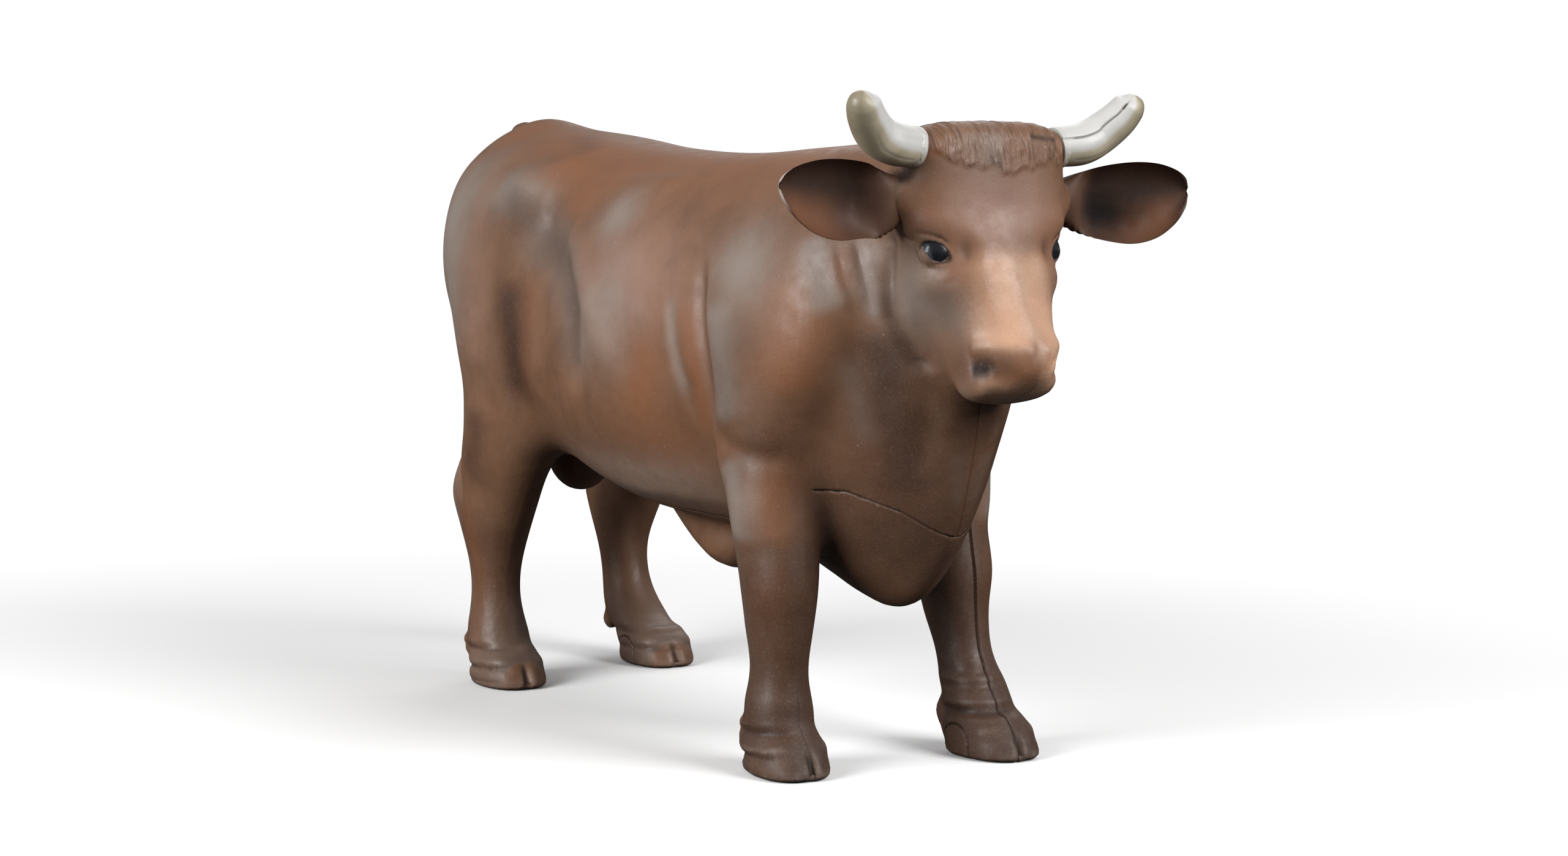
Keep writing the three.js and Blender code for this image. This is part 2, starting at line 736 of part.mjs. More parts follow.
// The D shaped zone of the plug in the inner side of a hoof's heel
function plugZone(leg, grown) {
  const half = plugHalfWidth + grown;
  const shoulder = plugHeight - plugHalfWidth;
  const outline = new THREE.Shape();
  outline.moveTo(-half, -cutOverrun);
  outline.lineTo(half, -cutOverrun);
  outline.lineTo(half, shoulder);
  outline.absarc(0, shoulder, half, 0, Math.PI, false);
  const deep = leg.side * (seamTrack - plugInset + grown);
  const [right, left] = leg.side > 0 ? [0, deep] : [deep, 0];
  const geometry = crosswise(outline, right, left, plugArcSides);
  geometry.translate(hoofCentre(leg).x - plugSetBack, 0, 0);
  return solid(geometry);
}

// Locating posts: each pair meets at the centre seam, with a pin on the left in a hole on the right
const postShares = [
  [-0.62, 0.78],
  [-0.1, 0.7],
  [0.3, 0.74],
];

// A round bar across the body at a post's place
function crossBar([along, height], radius, right, left) {
  const geometry = new THREE.CylinderGeometry(radius, radius, left - right, smallSides);
  const at = spot(along, (left + right) / 2, height);
  geometry.translate(at.x, at.y, at.z);
  return solid(geometry);
}

function postSolid(side, at) {
  const [near, far] = [(side * seamGap) / 2, side * postLength];
  return crossBar(at, postRadius, Math.min(near, far), Math.max(near, far));
}

function pinSolid(at, grown) {
  return crossBar(at, postPinRadius + grown, -postPinLength - grown, postPinLength + grown);
}

// The skin of the animal, which all the mouldings are cut from
const cavity = cavitySolid();
const skin = joined([trunkSolid(), headSolid(), ...legs.map(legSolid)]);

function sideShell(side) {
  const reach = legSpacing + cutOverrun;
  const low = new THREE.Vector3(-reach, side > 0 ? seamGap / 2 : -reach, -cutOverrun);
  const high = new THREE.Vector3(reach, side > 0 ? reach : -seamGap / 2, backHeight + cutOverrun);
  let shell = skin.intersect(block(low, high)).subtract(cavity);
  for (const at of postShares) {
    shell = shell.add(postSolid(side, at));
    shell = side > 0 ? shell.add(pinSolid(at, 0)) : shell.subtract(pinSolid(at, seamGap));
  }
  const cuts = [underZone(seamGap), pollZone(seamGap), eyeSolid(side, seamGap), hornSolid(side, seamGap)];
  for (const cut of [...cuts, earSocket(side), tailSolid(seamGap)]) {
    shell = shell.subtract(cut);
  }
  return whole(shell);
}

function underbody() {
  let body = joined([skin, sheathSolid(), scrotumSolid()]).intersect(underZone(0)).subtract(cavity);
  for (const leg of legs) {
    body = body.subtract(plugZone(leg, seamGap));
  }
  return body;
}

function pollCap() {
  return skin.intersect(pollZone(0)).subtract(hornSolid(1, seamGap)).subtract(hornSolid(-1, seamGap));
}

function hoofPlug(leg) {
  return hoofSolid(leg).subtract(cleftSolid(leg)).intersect(plugZone(leg, 0));
}

// Finishes
const hide = { color: 0x7a5648, roughness: 0.55, metalness: 0 };
const darkHide = { color: 0x5a4238, roughness: 0.58, metalness: 0 };
const earBrown = { color: 0x4a3026, roughness: 0.55, metalness: 0 };
const hoofGrey = { color: 0x5d5048, roughness: 0.6, metalness: 0 };
const hornIvory = { color: 0xe4dfcf, roughness: 0.4, metalness: 0 };
const eyeBlack = { color: 0x12151a, roughness: 0.12, metalness: 0 };

function named(name, body, finish) {
  const mesh = new THREE.Mesh(geometryOf(body), new THREE.MeshStandardMaterial(finish));
  mesh.name = name;
  return mesh;
}

const bull = new THREE.Group();
bull.add(named("side_shell_right", sideShell(-1), hide));
bull.add(named("side_shell_left", sideShell(1), hide));
bull.add(named("underbody", underbody(), darkHide));
bull.add(named("poll_cap", pollCap(), darkHide));
for (const [word, side] of [["right", -1], ["left", 1]]) {
  bull.add(named("horn_" + word, hornSolid(side, 0), hornIvory));
  bull.add(named("ear_" + word, earSolid(side), earBrown));
  bull.add(named("eye_" + word, eyeSolid(side, 0), eyeBlack));
}
for (const leg of legs) {
  bull.add(named("hoof_plug_" + leg.name, hoofPlug(leg), hoofGrey));
}
bull.add(named("tail", tailSolid(0), darkHide));

// The frame's origin lies under the middle of the animal, on the ground
const extent = new THREE.Box3().setFromObject(bull);
bull.position.x = -(extent.min.x + extent.max.x) / 2;

export default bull;
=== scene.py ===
"""A toy bull of moulded, airbrushed plastic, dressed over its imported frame.

The skin is poured as a voxel clay from the frame's mouldings, softened, sculpted by named swells and
strokes, and parted again along the mould seams. Horns, ears, eyes and tail are built on their own.
Lengths are millimetres in the bull's own space until a mesh is handed to Blender, which takes metres.
"""

import logging
import math
from dataclasses import dataclass, field
from enum import Enum
from itertools import product
from typing import Callable, Sequence

import bpy
import numpy as np
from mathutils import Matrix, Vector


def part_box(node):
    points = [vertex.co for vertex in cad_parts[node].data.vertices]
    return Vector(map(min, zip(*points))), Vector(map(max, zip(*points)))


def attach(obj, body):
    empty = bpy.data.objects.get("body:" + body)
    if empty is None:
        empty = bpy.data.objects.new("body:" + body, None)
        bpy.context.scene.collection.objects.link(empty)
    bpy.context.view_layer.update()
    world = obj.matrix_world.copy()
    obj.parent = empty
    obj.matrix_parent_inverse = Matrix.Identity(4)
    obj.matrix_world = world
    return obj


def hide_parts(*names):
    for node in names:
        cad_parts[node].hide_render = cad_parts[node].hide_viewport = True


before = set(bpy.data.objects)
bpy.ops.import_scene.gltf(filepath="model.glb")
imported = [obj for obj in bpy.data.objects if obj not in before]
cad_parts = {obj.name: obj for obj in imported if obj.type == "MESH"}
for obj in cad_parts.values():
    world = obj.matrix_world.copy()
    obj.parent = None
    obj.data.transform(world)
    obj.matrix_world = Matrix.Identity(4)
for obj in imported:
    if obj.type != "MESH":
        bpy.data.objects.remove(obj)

import openvdb
from mathutils import Vector

Array = np.ndarray
Point = tuple[float, float, float]
Socket = bpy.types.NodeSocket
Node = bpy.types.Node
Material = bpy.types.Material
Thing = bpy.types.Object

log = logging.getLogger("toy_bull")

MM = 0.001
TINY = 1e-12
LOWEST = 0.01  # The height over the floor that no skin goes below.
ROOT = "root"
SKIN_NODES = (
    "side_shell_right",
    "side_shell_left",
    "underbody",
    "poll_cap",
    "hoof_plug_fore_right",
    "hoof_plug_fore_left",
    "hoof_plug_hind_right",
    "hoof_plug_hind_left",
)


class Side(Enum):
    """The side of the bull that a feature lies on."""

    BOTH = 0
    LEFT = 1
    RIGHT = -1


def ease(low: float, high: float, value: Array) -> Array:
    """Eases from 0 at low to 1 at high.

    Args:
        low: Value where the result is 0.
        high: Value where the result is 1. It may be the smaller one.
        value: The values to ease.

    Returns:
        The eased values, from 0 to 1.
    """
    t = np.clip((value - low) / (high - low), 0.0, 1.0)
    return t * t * (3.0 - 2.0 * t)


def bell(value: Array, width: float) -> Array:
    """Returns 1 where a value is 0, and softly less over a width to either side."""
    return np.exp(-((value / width) ** 2))


def unit(ways: Array) -> Array:
    """Returns ways, one a row, with a length of 1."""
    return ways / np.maximum(np.linalg.norm(ways, axis=1, keepdims=True), TINY)


def slope_of(measure: Callable[[Array], Array], points: Array, step: float) -> Array:
    """Finds the way that a measure rises.

    Args:
        measure: Gives the measure at each point.
        points: Where to look.
        step: How far to either side the measure is read.

    Returns:
        How much it rises per millimetre along each axis, one point a row.
    """
    rows = [measure(points + way) - measure(points - way) for way in np.eye(3) * step]
    return np.stack(rows, axis=1) / (2 * step)


def facing(points: Array, side: Side) -> tuple[Array, Array]:
    """Mirrors points so that a feature on either side is written with a positive y.

    Args:
        points: Points in the bull's space, one a row.
        side: The side that the feature lies on.

    Returns:
        The mirrored points, and 1 where the feature may act.
    """
    mirrored = points.copy()
    if side is Side.BOTH:
        mirrored[:, 1] = np.abs(mirrored[:, 1])
        return mirrored, np.ones(len(points))
    mirrored[:, 1] *= side.value
    return mirrored, ease(-1.0, 0.5, mirrored[:, 1])


def line_distance(points: Array, line: Sequence[Point]) -> tuple[Array, Array]:
    """Finds how far points are from a line of straight stretches.

    Args:
        points: Points, one a row.
        line: The corners of the line.

    Returns:
        The distances, and each nearest place as a share of the line's length.
    """
    corners = np.asarray(line, float)
    steps = np.linalg.norm(np.diff(corners, axis=0), axis=1)
    starts = np.concatenate([[0.0], np.cumsum(steps)])
    best = np.full(len(points), np.inf)
    place = np.zeros(len(points))
    for i, step in enumerate(steps):
        along = (corners[i + 1] - corners[i]) / step
        t = np.clip((points - corners[i]) @ along, 0.0, step)
        gap = np.linalg.norm(points - corners[i] - t[:, None] * along, axis=1)
        nearer = gap < best
        best[nearer] = gap[nearer]
        place[nearer] = (starts[i] + t[nearer]) / starts[-1]
    return best, place


@dataclass(frozen=True)
class Space:
    """The bull's own space, which the frame holds shifted along x.

    Attributes:
        shift: Millimetres from the bull's space to the frame, along x.
    """

    shift: float

    @classmethod
    def from_frame(cls, eye_along: float) -> "Space":
        """Reads the shift from the frame's eye.

        Args:
            eye_along: Place of the eyeball's middle along the bull.

        Returns:
            The space.
        """
        low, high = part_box("eye_left")
        return cls(shift=(low.x + high.x) / 2 / MM - eye_along)

    def inward(self, metres: Array) -> Array:
        """Turns frame points in metres into bull points in millimetres."""
        points = np.asarray(metres, float) / MM
        points[:, 0] -= self.shift
        return points

    def outward(self, points: Array) -> Array:
        """Turns bull points in millimetres into frame points in metres."""
        moved = np.array(points, float)
        moved[:, 0] += self.shift
        return moved * MM


@dataclass(frozen=True)
class Swell:
    """A soft rise of the skin, or a hollow where its lift is negative.

    Attributes:
        name: What the rise is on the animal.
        at: Its middle.
        reach: How far it reaches along, across and up.
        lift: Its height.
        lean: Degrees that its reach is turned in the side view, nose up.
        side: The side it lies on.
    """

    name: str
    at: Point
    reach: Point
    lift: float
    lean: float = 0.0
    side: Side = Side.BOTH

    def lift_at(self, points: Array) -> Array:
        """Finds the height that it adds.

        Args:
            points: The points, one a row.

        Returns:
            The height at each point.
        """
        mirrored, acts = facing(points, self.side)
        away = mirrored - np.asarray(self.at)
        turn = math.radians(self.lean)
        along = away[:, 0] * math.cos(turn) + away[:, 2] * math.sin(turn)
        above = away[:, 2] * math.cos(turn) - away[:, 0] * math.sin(turn)
        length, width, height = self.reach
        spread = (along / length) ** 2 + (away[:, 1] / width) ** 2 + (above / height) ** 2
        return self.lift * acts * np.exp(-spread)


@dataclass(frozen=True)
class Stroke:
    """A ridge along a line on the skin, or a groove where its lift is negative.

    Attributes:
        name: What the stroke is on the animal.
        line: The points it runs through.
        width: How far it spreads to either side.
        lift: Its height.
        taper: Share of its length over which each end fades.
        side: The side it lies on.
    """

    name: str
    line: tuple[Point, ...]
    width: float
    lift: float
    taper: float = 0.25
    side: Side = Side.BOTH

    def lift_at(self, points: Array) -> Array:
        """Finds the height that it adds.

        Args:
            points: The points, one a row.

        Returns:
            The height at each point.
        """
        mirrored, acts = facing(points, self.side)
        reach = 3.0 * self.width
        corners = np.asarray(self.line)
        near = np.all((mirrored > corners.min(0) - reach) & (mirrored < corners.max(0) + reach), axis=1)
        lift = np.zeros(len(points))
        if not near.any():
            return lift
        gap, place = line_distance(mirrored[near], self.line)
        ends = ease(0.0, self.taper, place) * ease(1.0, 1.0 - self.taper, place)
        lift[near] = self.lift * acts[near] * ends * bell(gap, self.width)
        return lift


class Clay:
    """A block of voxels that holds the animal as a soft density, 1 inside and 0 outside."""

    def __init__(self, low: Point, high: Point, voxel: float) -> None:
        """Makes an empty block.

        Args:
            low: Its lowest corner.
            high: Its highest corner.
            voxel: The size of a voxel.
        """
        self.voxel = voxel
        self.low = np.round(np.asarray(low) / voxel).astype(int)
        self.size = np.round(np.asarray(high) / voxel).astype(int) - self.low
        self.density = np.zeros(self.size, np.float32)

    def pour(self, points: Array, triangles: Array) -> None:
        """Fills the block with what closed meshes hold, and closes the hollows and gaps inside.

        Args:
            points: Corners of the meshes.
            triangles: Indices of the corners, three a row.
        """
        band = 3.0
        level = openvdb.FloatGrid.createLevelSetFromPolygons(
            points.astype(np.float32),
            triangles=triangles.astype(np.uint32),
            transform=openvdb.createLinearTransform(voxelSize=self.voxel),
            halfWidth=band,
        )
        away = np.zeros(self.size, np.float32)
        level.copyToArray(away, ijk=tuple(int(v) for v in self.low))
        away /= self.voxel
        air = away > 0.0
        for _ in range(2):
            grown = air.copy()
            for axis in range(3):
                for step in (1, -1):
                    grown |= np.roll(air, step, axis)
            air = grown
        away[~air] = -band
        self.density = np.clip(0.5 - away / 2.0, 0.0, 1.0).astype(np.float32)

    def blurred(self, sigmas: Sequence[float]) -> list[Array]:
        """Blurs the density.

        Args:
            sigmas: Widths of the blurs.

        Returns:
            One blurred density for each width.
        """
        spectrum = np.fft.rfftn(self.density)
        ways = [np.fft.fftfreq(n) for n in self.size[:2]] + [np.fft.rfftfreq(self.size[2])]
        square = ways[0][:, None, None] ** 2 + ways[1][None, :, None] ** 2 + ways[2][None, None, :] ** 2
        results = []
        for sigma in sigmas:
            fade = np.exp(-2.0 * (math.pi * sigma / self.voxel) ** 2 * square)
            results.append(np.fft.irfftn(spectrum * fade, s=self.density.shape).astype(np.float32))
        return results

    def places(self) -> tuple[Array, Array, Array]:
        """Returns the voxels' places along each axis, ready to broadcast."""
        x, y, z = (self.voxel * (self.low[i] + np.arange(self.size[i])) for i in range(3))
        return x[:, None, None], y[None, :, None], z[None, None, :]

    def sample(self, values: Array, points: Array) -> Array:
        """Reads a field of this block between its voxels.

        Args:
            values: The field, as large as the block.
            points: Where to read it.

        Returns:
            The values at the points.
        """
        spot = points / self.voxel - self.low
        base = np.clip(np.floor(spot).astype(int), 0, self.size - 2)
        share = spot - base
        total = np.zeros(len(points))
        for corner in product((0, 1), repeat=3):
            near = np.abs(1 - np.array(corner) - share)
            x, y, z = (base + corner).T
            total += near[:, 0] * near[:, 1] * near[:, 2] * values[x, y, z]
        return total

    def slope(self, points: Array) -> Array:
        """Returns the way that the density rises at each point, per millimetre."""
        return slope_of(lambda spots: self.sample(self.density, spots), points, self.voxel)

    def surface(self) -> tuple[Array, Array]:
        """Draws the skin where the density is a half.

        Returns:
            Its points and its quads.
        """
        grid = openvdb.FloatGrid(1.0)
        grid.copyFromArray(0.5 - self.density, ijk=tuple(int(v) for v in self.low))
        grid.transform = openvdb.createLinearTransform(voxelSize=self.voxel)
        points, quads = grid.convertToQuads(0.0)
        return points.astype(float), quads.astype(np.int64)


@dataclass(frozen=True)
class Stance:
    """How the left legs stand beside the right ones.

    Attributes:
        fore: Rows of height, and how far the left foreleg is ahead of the right one there.
        hind: The same for the hind legs.
    """

    fore: tuple[tuple[float, float], ...] = (
        (5.5, 4.2), (9.0, 2.1), (12.5, 0.3), (16.5, -1.8), (21.5, -3.6), (27.0, -4.8), (33.0, -6.0),
        (40.0, -6.6), (47.0, -6.3), (54.0, -4.2), (62.0, -1.2), (72.0, 0.0),
    )
    hind: tuple[tuple[float, float], ...] = (
        (5.5, -6.75), (9.0, -10.8), (12.5, -12.9), (16.5, -14.1), (21.5, -15.0), (27.0, -15.0), (33.0, -14.0),
        (38.0, -12.0), (44.0, -8.4), (52.0, -3.6), (60.0, -0.9), (70.0, 0.0),
    )

    def squared(self, points: Array) -> Array:
        """Moves the left legs to where they would be if they stood like the right ones.

        Args:
            points: The points, one a row.

        Returns:
            The moved points.
        """
        moved = points.copy()
        left = ease(2.0, 8.0, points[:, 1]) * ease(54.0, 44.0, points[:, 2])
        fore = ease(-10.0, 6.0, points[:, 0])
        ahead = [np.interp(points[:, 2], *np.array(rows).T) for rows in (self.fore, self.hind)]
        moved[:, 0] -= left * (fore * ahead[0] + (1.0 - fore) * ahead[1])
        return moved


class Skin:
    """The animal's skin as one mesh of triangles, until it is parted along its seams."""

    def __init__(self, clay: Clay) -> None:
        """Draws the skin of a block of clay.

        Args:
            clay: The block, whose density is a half at the skin.
        """
        self.clay = clay
        self.points, quads = clay.surface()
        self.triangles = np.vstack([quads[:, [0, 1, 2]], quads[:, [0, 2, 3]]])

    def edges(self) -> tuple[Array, Array]:
        """Lists the edges.

        Returns:
            The edges, two corners a row, and the three edges of each triangle.
        """
        ends = np.stack([self.triangles, np.roll(self.triangles, -1, axis=1)], axis=2).reshape(-1, 2)
        ends.sort(axis=1)
        keys = ends[:, 0] * len(self.points) + ends[:, 1]
        _, first, sides = np.unique(keys, return_index=True, return_inverse=True)
        return ends[first], sides.reshape(-1, 3)

    def split(self, edges: Array, sides: Array, marked: Array, shares: Array) -> None:
        """Splits the marked edges, and the triangles on both sides of them.

        Args:
            edges: The edges, two corners a row.
            sides: The three edges of each triangle.
            marked: True for the edges to split.
            shares: Where each marked edge is split, from 0 to 1.
        """
        fresh = np.full(len(edges), -1)
        fresh[marked] = len(self.points) + np.arange(int(marked.sum()))
        first, second = self.points[edges[marked].T]
        added = first + (second - first) * shares[:, None]
        self.points = np.vstack([self.points, self.settled(added)])
        middles = fresh[sides]
        count = (middles >= 0).sum(axis=1)
        parts = [self.triangles[count == 0]]

        def turned(rows: Array, start: Array) -> tuple[Array, ...]:
            """Returns the corners and fresh middles of some triangles, counted from a given one."""
            order = (start[:, None] + np.arange(3)) % 3
            corners = np.take_along_axis(self.triangles[rows], order, 1)
            return (*corners.T, *np.take_along_axis(middles[rows], order, 1).T)

        rows = np.flatnonzero(count == 1)
        a, b, c, m, _, _ = turned(rows, np.argmax(middles[rows] >= 0, axis=1))
        parts += [np.stack([a, m, c], 1), np.stack([m, b, c], 1)]
        rows = np.flatnonzero(count == 2)
        a, b, c, m, n, _ = turned(rows, (np.argmax(middles[rows] < 0, axis=1) + 1) % 3)
        parts += [np.stack([m, b, n], 1), np.stack([a, m, n], 1), np.stack([a, n, c], 1)]
        rows = np.flatnonzero(count == 3)
        a, b, c, m, n, o = turned(rows, np.zeros(len(rows), int))
        parts += [np.stack(t, 1) for t in ((a, m, o), (m, b, n), (o, n, c), (m, n, o))]
        self.triangles = np.vstack(parts)

    def settled(self, points: Array) -> Array:
        """Moves points onto the skin, along the slope of the clay."""
        for _ in range(2):
            slope = self.clay.slope(points)
            short = 0.5 - self.clay.sample(self.clay.density, points)
            far = np.clip(short / np.maximum((slope**2).sum(1), 1e-3), -1.5, 1.5)
            points = points + slope * far[:, None]
        return points

    def refine(self, longest: Callable[[Array], Array]) -> None:
        """Halves the edges that are longer than they may be.

        Args:
            longest: Gives the longest edge that may stay at each point.
        """
        edges, sides = self.edges()
        first, second = self.points[edges.T]
        marked = np.linalg.norm(second - first, axis=1) > longest((first + second) / 2)
        self.split(edges, sides, marked, np.full(int(marked.sum()), 0.5))

    def slice(self, measure: Callable[[Array], Array], level: float, snap: float) -> None:
        """Cuts the triangles along the line where a measure has a given value.

        Args:
            measure: Gives the measure at each point, in millimetres across the line.
            level: The value on the line.
            snap: Corners this near to the line are moved onto it.
        """
        values = measure(self.points) - level
        near = np.flatnonzero(np.abs(values) < snap)
        if len(near):
            spots = self.points[near]
            rise = slope_of(measure, spots, snap / 4)
            square = np.maximum((rise**2).sum(1), 0.1)
            self.points[near] = spots - rise * (values[near] / square)[:, None]
            values[near] = 0.0
        edges, sides = self.edges()
        first, second = values[edges.T]
        marked = first * second < 0.0
        self.split(edges, sides, marked, first[marked] / (first[marked] - second[marked]))

    def outward(self) -> Array:
        """Finds the way out of the skin from its triangles.

        Returns:
            The way at each of its points.
        """
        a, b, c = self.points[self.triangles.T]
        across = np.cross(b - a, c - a)
        total = np.zeros_like(self.points)
        for axis in range(3):
            for corner in self.triangles.T:
                total[:, axis] += np.bincount(corner, across[:, axis], len(self.points))
        return unit(total)

    def hollow(self) -> Array:
        """Finds how hollow the skin is.

        Returns:
            The hollowness at each of its points per millimetre, with ridges below 0.
        """
        edges, _ = self.edges()
        first, second = edges.T
        outward = self.outward()
        step = self.points[second] - self.points[first]
        bend = -((outward[second] - outward[first]) * step).sum(axis=1)
        count = len(self.points)
        ends = np.concatenate([first, second])
        others = np.concatenate([second, first])
        total = np.bincount(ends, np.tile(bend, 2), count)
        values = total / np.maximum(np.bincount(ends, np.tile((step**2).sum(axis=1), 2), count), 1e-6)
        reach = np.bincount(ends, minlength=count)
        for _ in range(3):
            values = 0.5 * values + 0.5 * np.bincount(ends, values[others], count) / np.maximum(reach, 1)
        return values


@dataclass(frozen=True)
class Edging:
    """A moulding whose open edge turns in.

    Attributes:
        points: Its points.
        faces: Its triangles.
        copied: The first points that each added point belongs to.
        shading: The way that each corner of its triangles is shaded.
    """

    points: Array
    faces: Array
    copied: Array
    shading: Array


@dataclass(frozen=True)
class HoofPlug:
    """The D-shaped plug in the inner face of one hoof.

    Attributes:
        node: The moulding it stands for.
        along: Place of its middle along the bull.
        side: The leg's side.
        half_width: Half of its width.
        height: Its height above the ground.
        reach: How far out across the bull it goes.
    """

    node: str
    along: float
    side: Side
    half_width: float = 3.6
    height: float = 5.2
    reach: float = 16.0

    def inside(self, points: Array) -> Array:
        """Measures places in the plug's outline.

        Args:
            points: The points, one a row.

        Returns:
            How far each point is inside it.
        """
        spring = self.height - self.half_width
        arch = np.hypot(points[:, 0] - self.along, np.maximum(points[:, 2] - spring, 0.0))
        across = points[:, 1] * self.side.value
        return np.minimum(np.minimum(self.half_width - arch, self.reach - across), across - 4.0)


@dataclass(frozen=True)
class SeamPlan:
    """Where the skin is parted into its mouldings.

    Attributes:
        track: Half of the underbody's width, which runs down the middle of each leg.
        belly: The underbody's upper edge in the side view, as places along and heights.
        poll: The poll cap's back, front and lower edge.
        plugs: The four hoof plugs.
        half_groove: Half of a seam's width.
        depth: A seam's depth.
        proud: How far the left shell stands over the underbody down the front of the foreleg.
        gap: Half of the gap between two mouldings.
        lip: How far a moulding's edge turns in.
    """

    track: float = 17.5
    belly: tuple[tuple[float, float], ...] = (
        (-90.0, 50.0), (-56.0, 50.0), (-40.0, 42.0), (-24.0, 37.0), (10.0, 36.2), (20.0, 44.5),
        (42.0, 43.8), (49.0, 41.0), (55.0, 35.8), (70.0, 35.0),
    )
    poll: tuple[float, float, float] = (46.0, 60.2, 93.0)
    plugs: tuple[HoofPlug, ...] = (
        HoofPlug("hoof_plug_fore_right", 31.7, Side.RIGHT),
        HoofPlug("hoof_plug_fore_left", 35.9, Side.LEFT),
        HoofPlug("hoof_plug_hind_right", -63.3, Side.RIGHT),
        HoofPlug("hoof_plug_hind_left", -70.05, Side.LEFT),
    )
    half_groove: float = 0.2
    depth: float = 0.34
    proud: float = 0.16
    gap: float = 0.03
    lip: float = 0.9

    def under(self, points: Array) -> Array:
        """Returns how far each point is inside the underbody's edge."""
        x, z = np.array(self.belly).T
        return np.minimum(self.track - np.abs(points[:, 1]), np.interp(points[:, 0], x, z) - points[:, 2])

    def crown(self, points: Array) -> Array:
        """Returns how far each point is inside the poll cap's edge."""
        back, front, low = self.poll
        along = np.minimum(points[:, 0] - back, front - points[:, 0])
        return np.minimum(along, points[:, 2] - low)

    def middle(self, points: Array) -> Array:
        """Returns how far each point is to the left of the middle seam."""
        return points[:, 1].copy()

    def cut(self, skin: Skin) -> None:
        """Cuts the skin's triangles along every seam and along both sides of its groove."""
        for measure in (self.under, self.crown, *(plug.inside for plug in self.plugs), self.middle):
            for level in (0.0, self.half_groove, -self.half_groove):
                skin.slice(measure, level, self.half_groove / 3)

    def groove(self, points: Array) -> Array:
        """Finds where the grooves of the seams are.

        Args:
            points: The points, one a row.

        Returns:
            How deep in a groove each point is, from 0 to 1.
        """
        fore_left = ease(0.0, 20.0, points[:, 0]) * ease(8.0, 12.0, points[:, 1])
        fore_right = 0.3 * ease(0.0, 20.0, points[:, 0]) * ease(15.0, 10.5, points[:, 2])
        belly = ease(16.5, 15.5, np.abs(points[:, 1]))
        outer = np.clip(fore_left + fore_right + belly, 0.0, 1.0)
        deep = np.zeros(len(points))
        for measure in (self.under, self.crown, self.middle, *(plug.inside for plug in self.plugs)):
            line = np.clip(1.0 - np.abs(measure(points)) / self.half_groove, 0.0, 1.0)
            if measure == self.under:
                line *= outer
            if measure == self.crown:
                line *= ease(4.5, 5.5, points[:, 1]) * ease(92.5, 93.5, points[:, 2])
            if measure == self.middle:
                line *= 0.35 * ease(62.5, 60.5, points[:, 2])
                line *= np.maximum(self.under(points), self.crown(points)) <= 0.0
            deep = np.maximum(deep, line)
        return deep

    def step(self, points: Array) -> Array:
        """Finds the step down the front of the left foreleg.

        Args:
            points: The points, one a row.

        Returns:
            How far the shell stands over the underbody at each point.
        """
        outer = -self.under(points)
        x, y, z = points.T
        front = ease(24.0, 30.0, x) * ease(10.0, 13.0, y) * ease(48.0, 42.0, z)
        return self.proud * front * ease(0.0, self.half_groove, outer) * ease(2.2, 0.4, outer)

    def part(self, points: Array, triangles: Array) -> dict[str, Array]:
        """Sorts the skin's triangles by moulding.

        Args:
            points: The skin's points before it is sculpted.
            triangles: Its triangles.

        Returns:
            The rows of the triangles that each moulding holds.
        """
        middles = points[triangles].mean(axis=1)
        name = np.where(middles[:, 1] > 0.0, "side_shell_left", "side_shell_right").astype("<U24")
        name[self.under(middles) > 0.0] = "underbody"
        name[self.crown(middles) > 0.0] = "poll_cap"
        for plug in self.plugs:
            name[plug.inside(middles) > 0.0] = plug.node
        return {node: np.flatnonzero(name == node) for node in SKIN_NODES}

    def lipped(self, points: Array, outward: Array, faces: Array, open_share: Array) -> Edging:
        """Draws a moulding's open edge back by the gap and turns it in by the lip.

        Args:
            points: The moulding's points.
            outward: The way out of the skin at each of them.
            faces: Its triangles.
            open_share: How open the seam is at each point, from 0 to 1.

        Returns:
            The moulding with its lip.
        """
        ends = np.stack([faces, np.roll(faces, -1, axis=1)], axis=2).reshape(-1, 2)
        low, high = ends.min(axis=1), ends.max(axis=1)
        _, which, count = np.unique(low * len(points) + high, return_inverse=True, return_counts=True)
        rim = ends[count[which.ravel()] == 1]
        edge = np.unique(rim)
        middles = points[faces].mean(axis=1)
        pull = np.zeros_like(points)
        for corner in faces.T:
            for axis in range(3):
                pull[:, axis] += np.bincount(corner, middles[:, axis] - points[corner, axis], len(points))
        pull -= outward * (pull * outward).sum(axis=1, keepdims=True)
        drawn = points.copy()
        drawn[edge] += unit(pull)[edge] * self.gap * ease(0.2, 0.8, open_share[edge])[:, None]
        turned_in = drawn[edge] - outward[edge] * self.lip
        turned_in[:, 2] = np.maximum(turned_in[:, 2], LOWEST)
        fresh = np.full(len(points), -1)
        fresh[edge] = len(points) + np.arange(len(edge))
        first, second = rim.T
        held = np.vstack([drawn, turned_in])
        halves = (second, first, fresh[first]), (second, fresh[first], fresh[second])
        lips = np.vstack([np.stack(half, 1) for half in halves])
        a, b, c = held[lips.T]
        across = unit(np.cross(b - a, c - a))
        shading = np.vstack([outward[faces].reshape(-1, 3), np.repeat(across, 3, axis=0)])
        return Edging(held, np.vstack([faces, lips]), edge, shading)


class Coat(Enum):
    """The paints that are sprayed over the plastic, with painted shade and light in some of their passes."""

    TAUPE = "taupe"
    RUST = "rust"
    UMBER = "umber"
    TAN = "tan"
    ROSE = "rose"
    SOOT = "soot"


# The passes of the airbrush by coat. The lift of each is its amount, from 0 to 1.
Sprays = dict[Coat, tuple[Swell | Stroke, ...]]


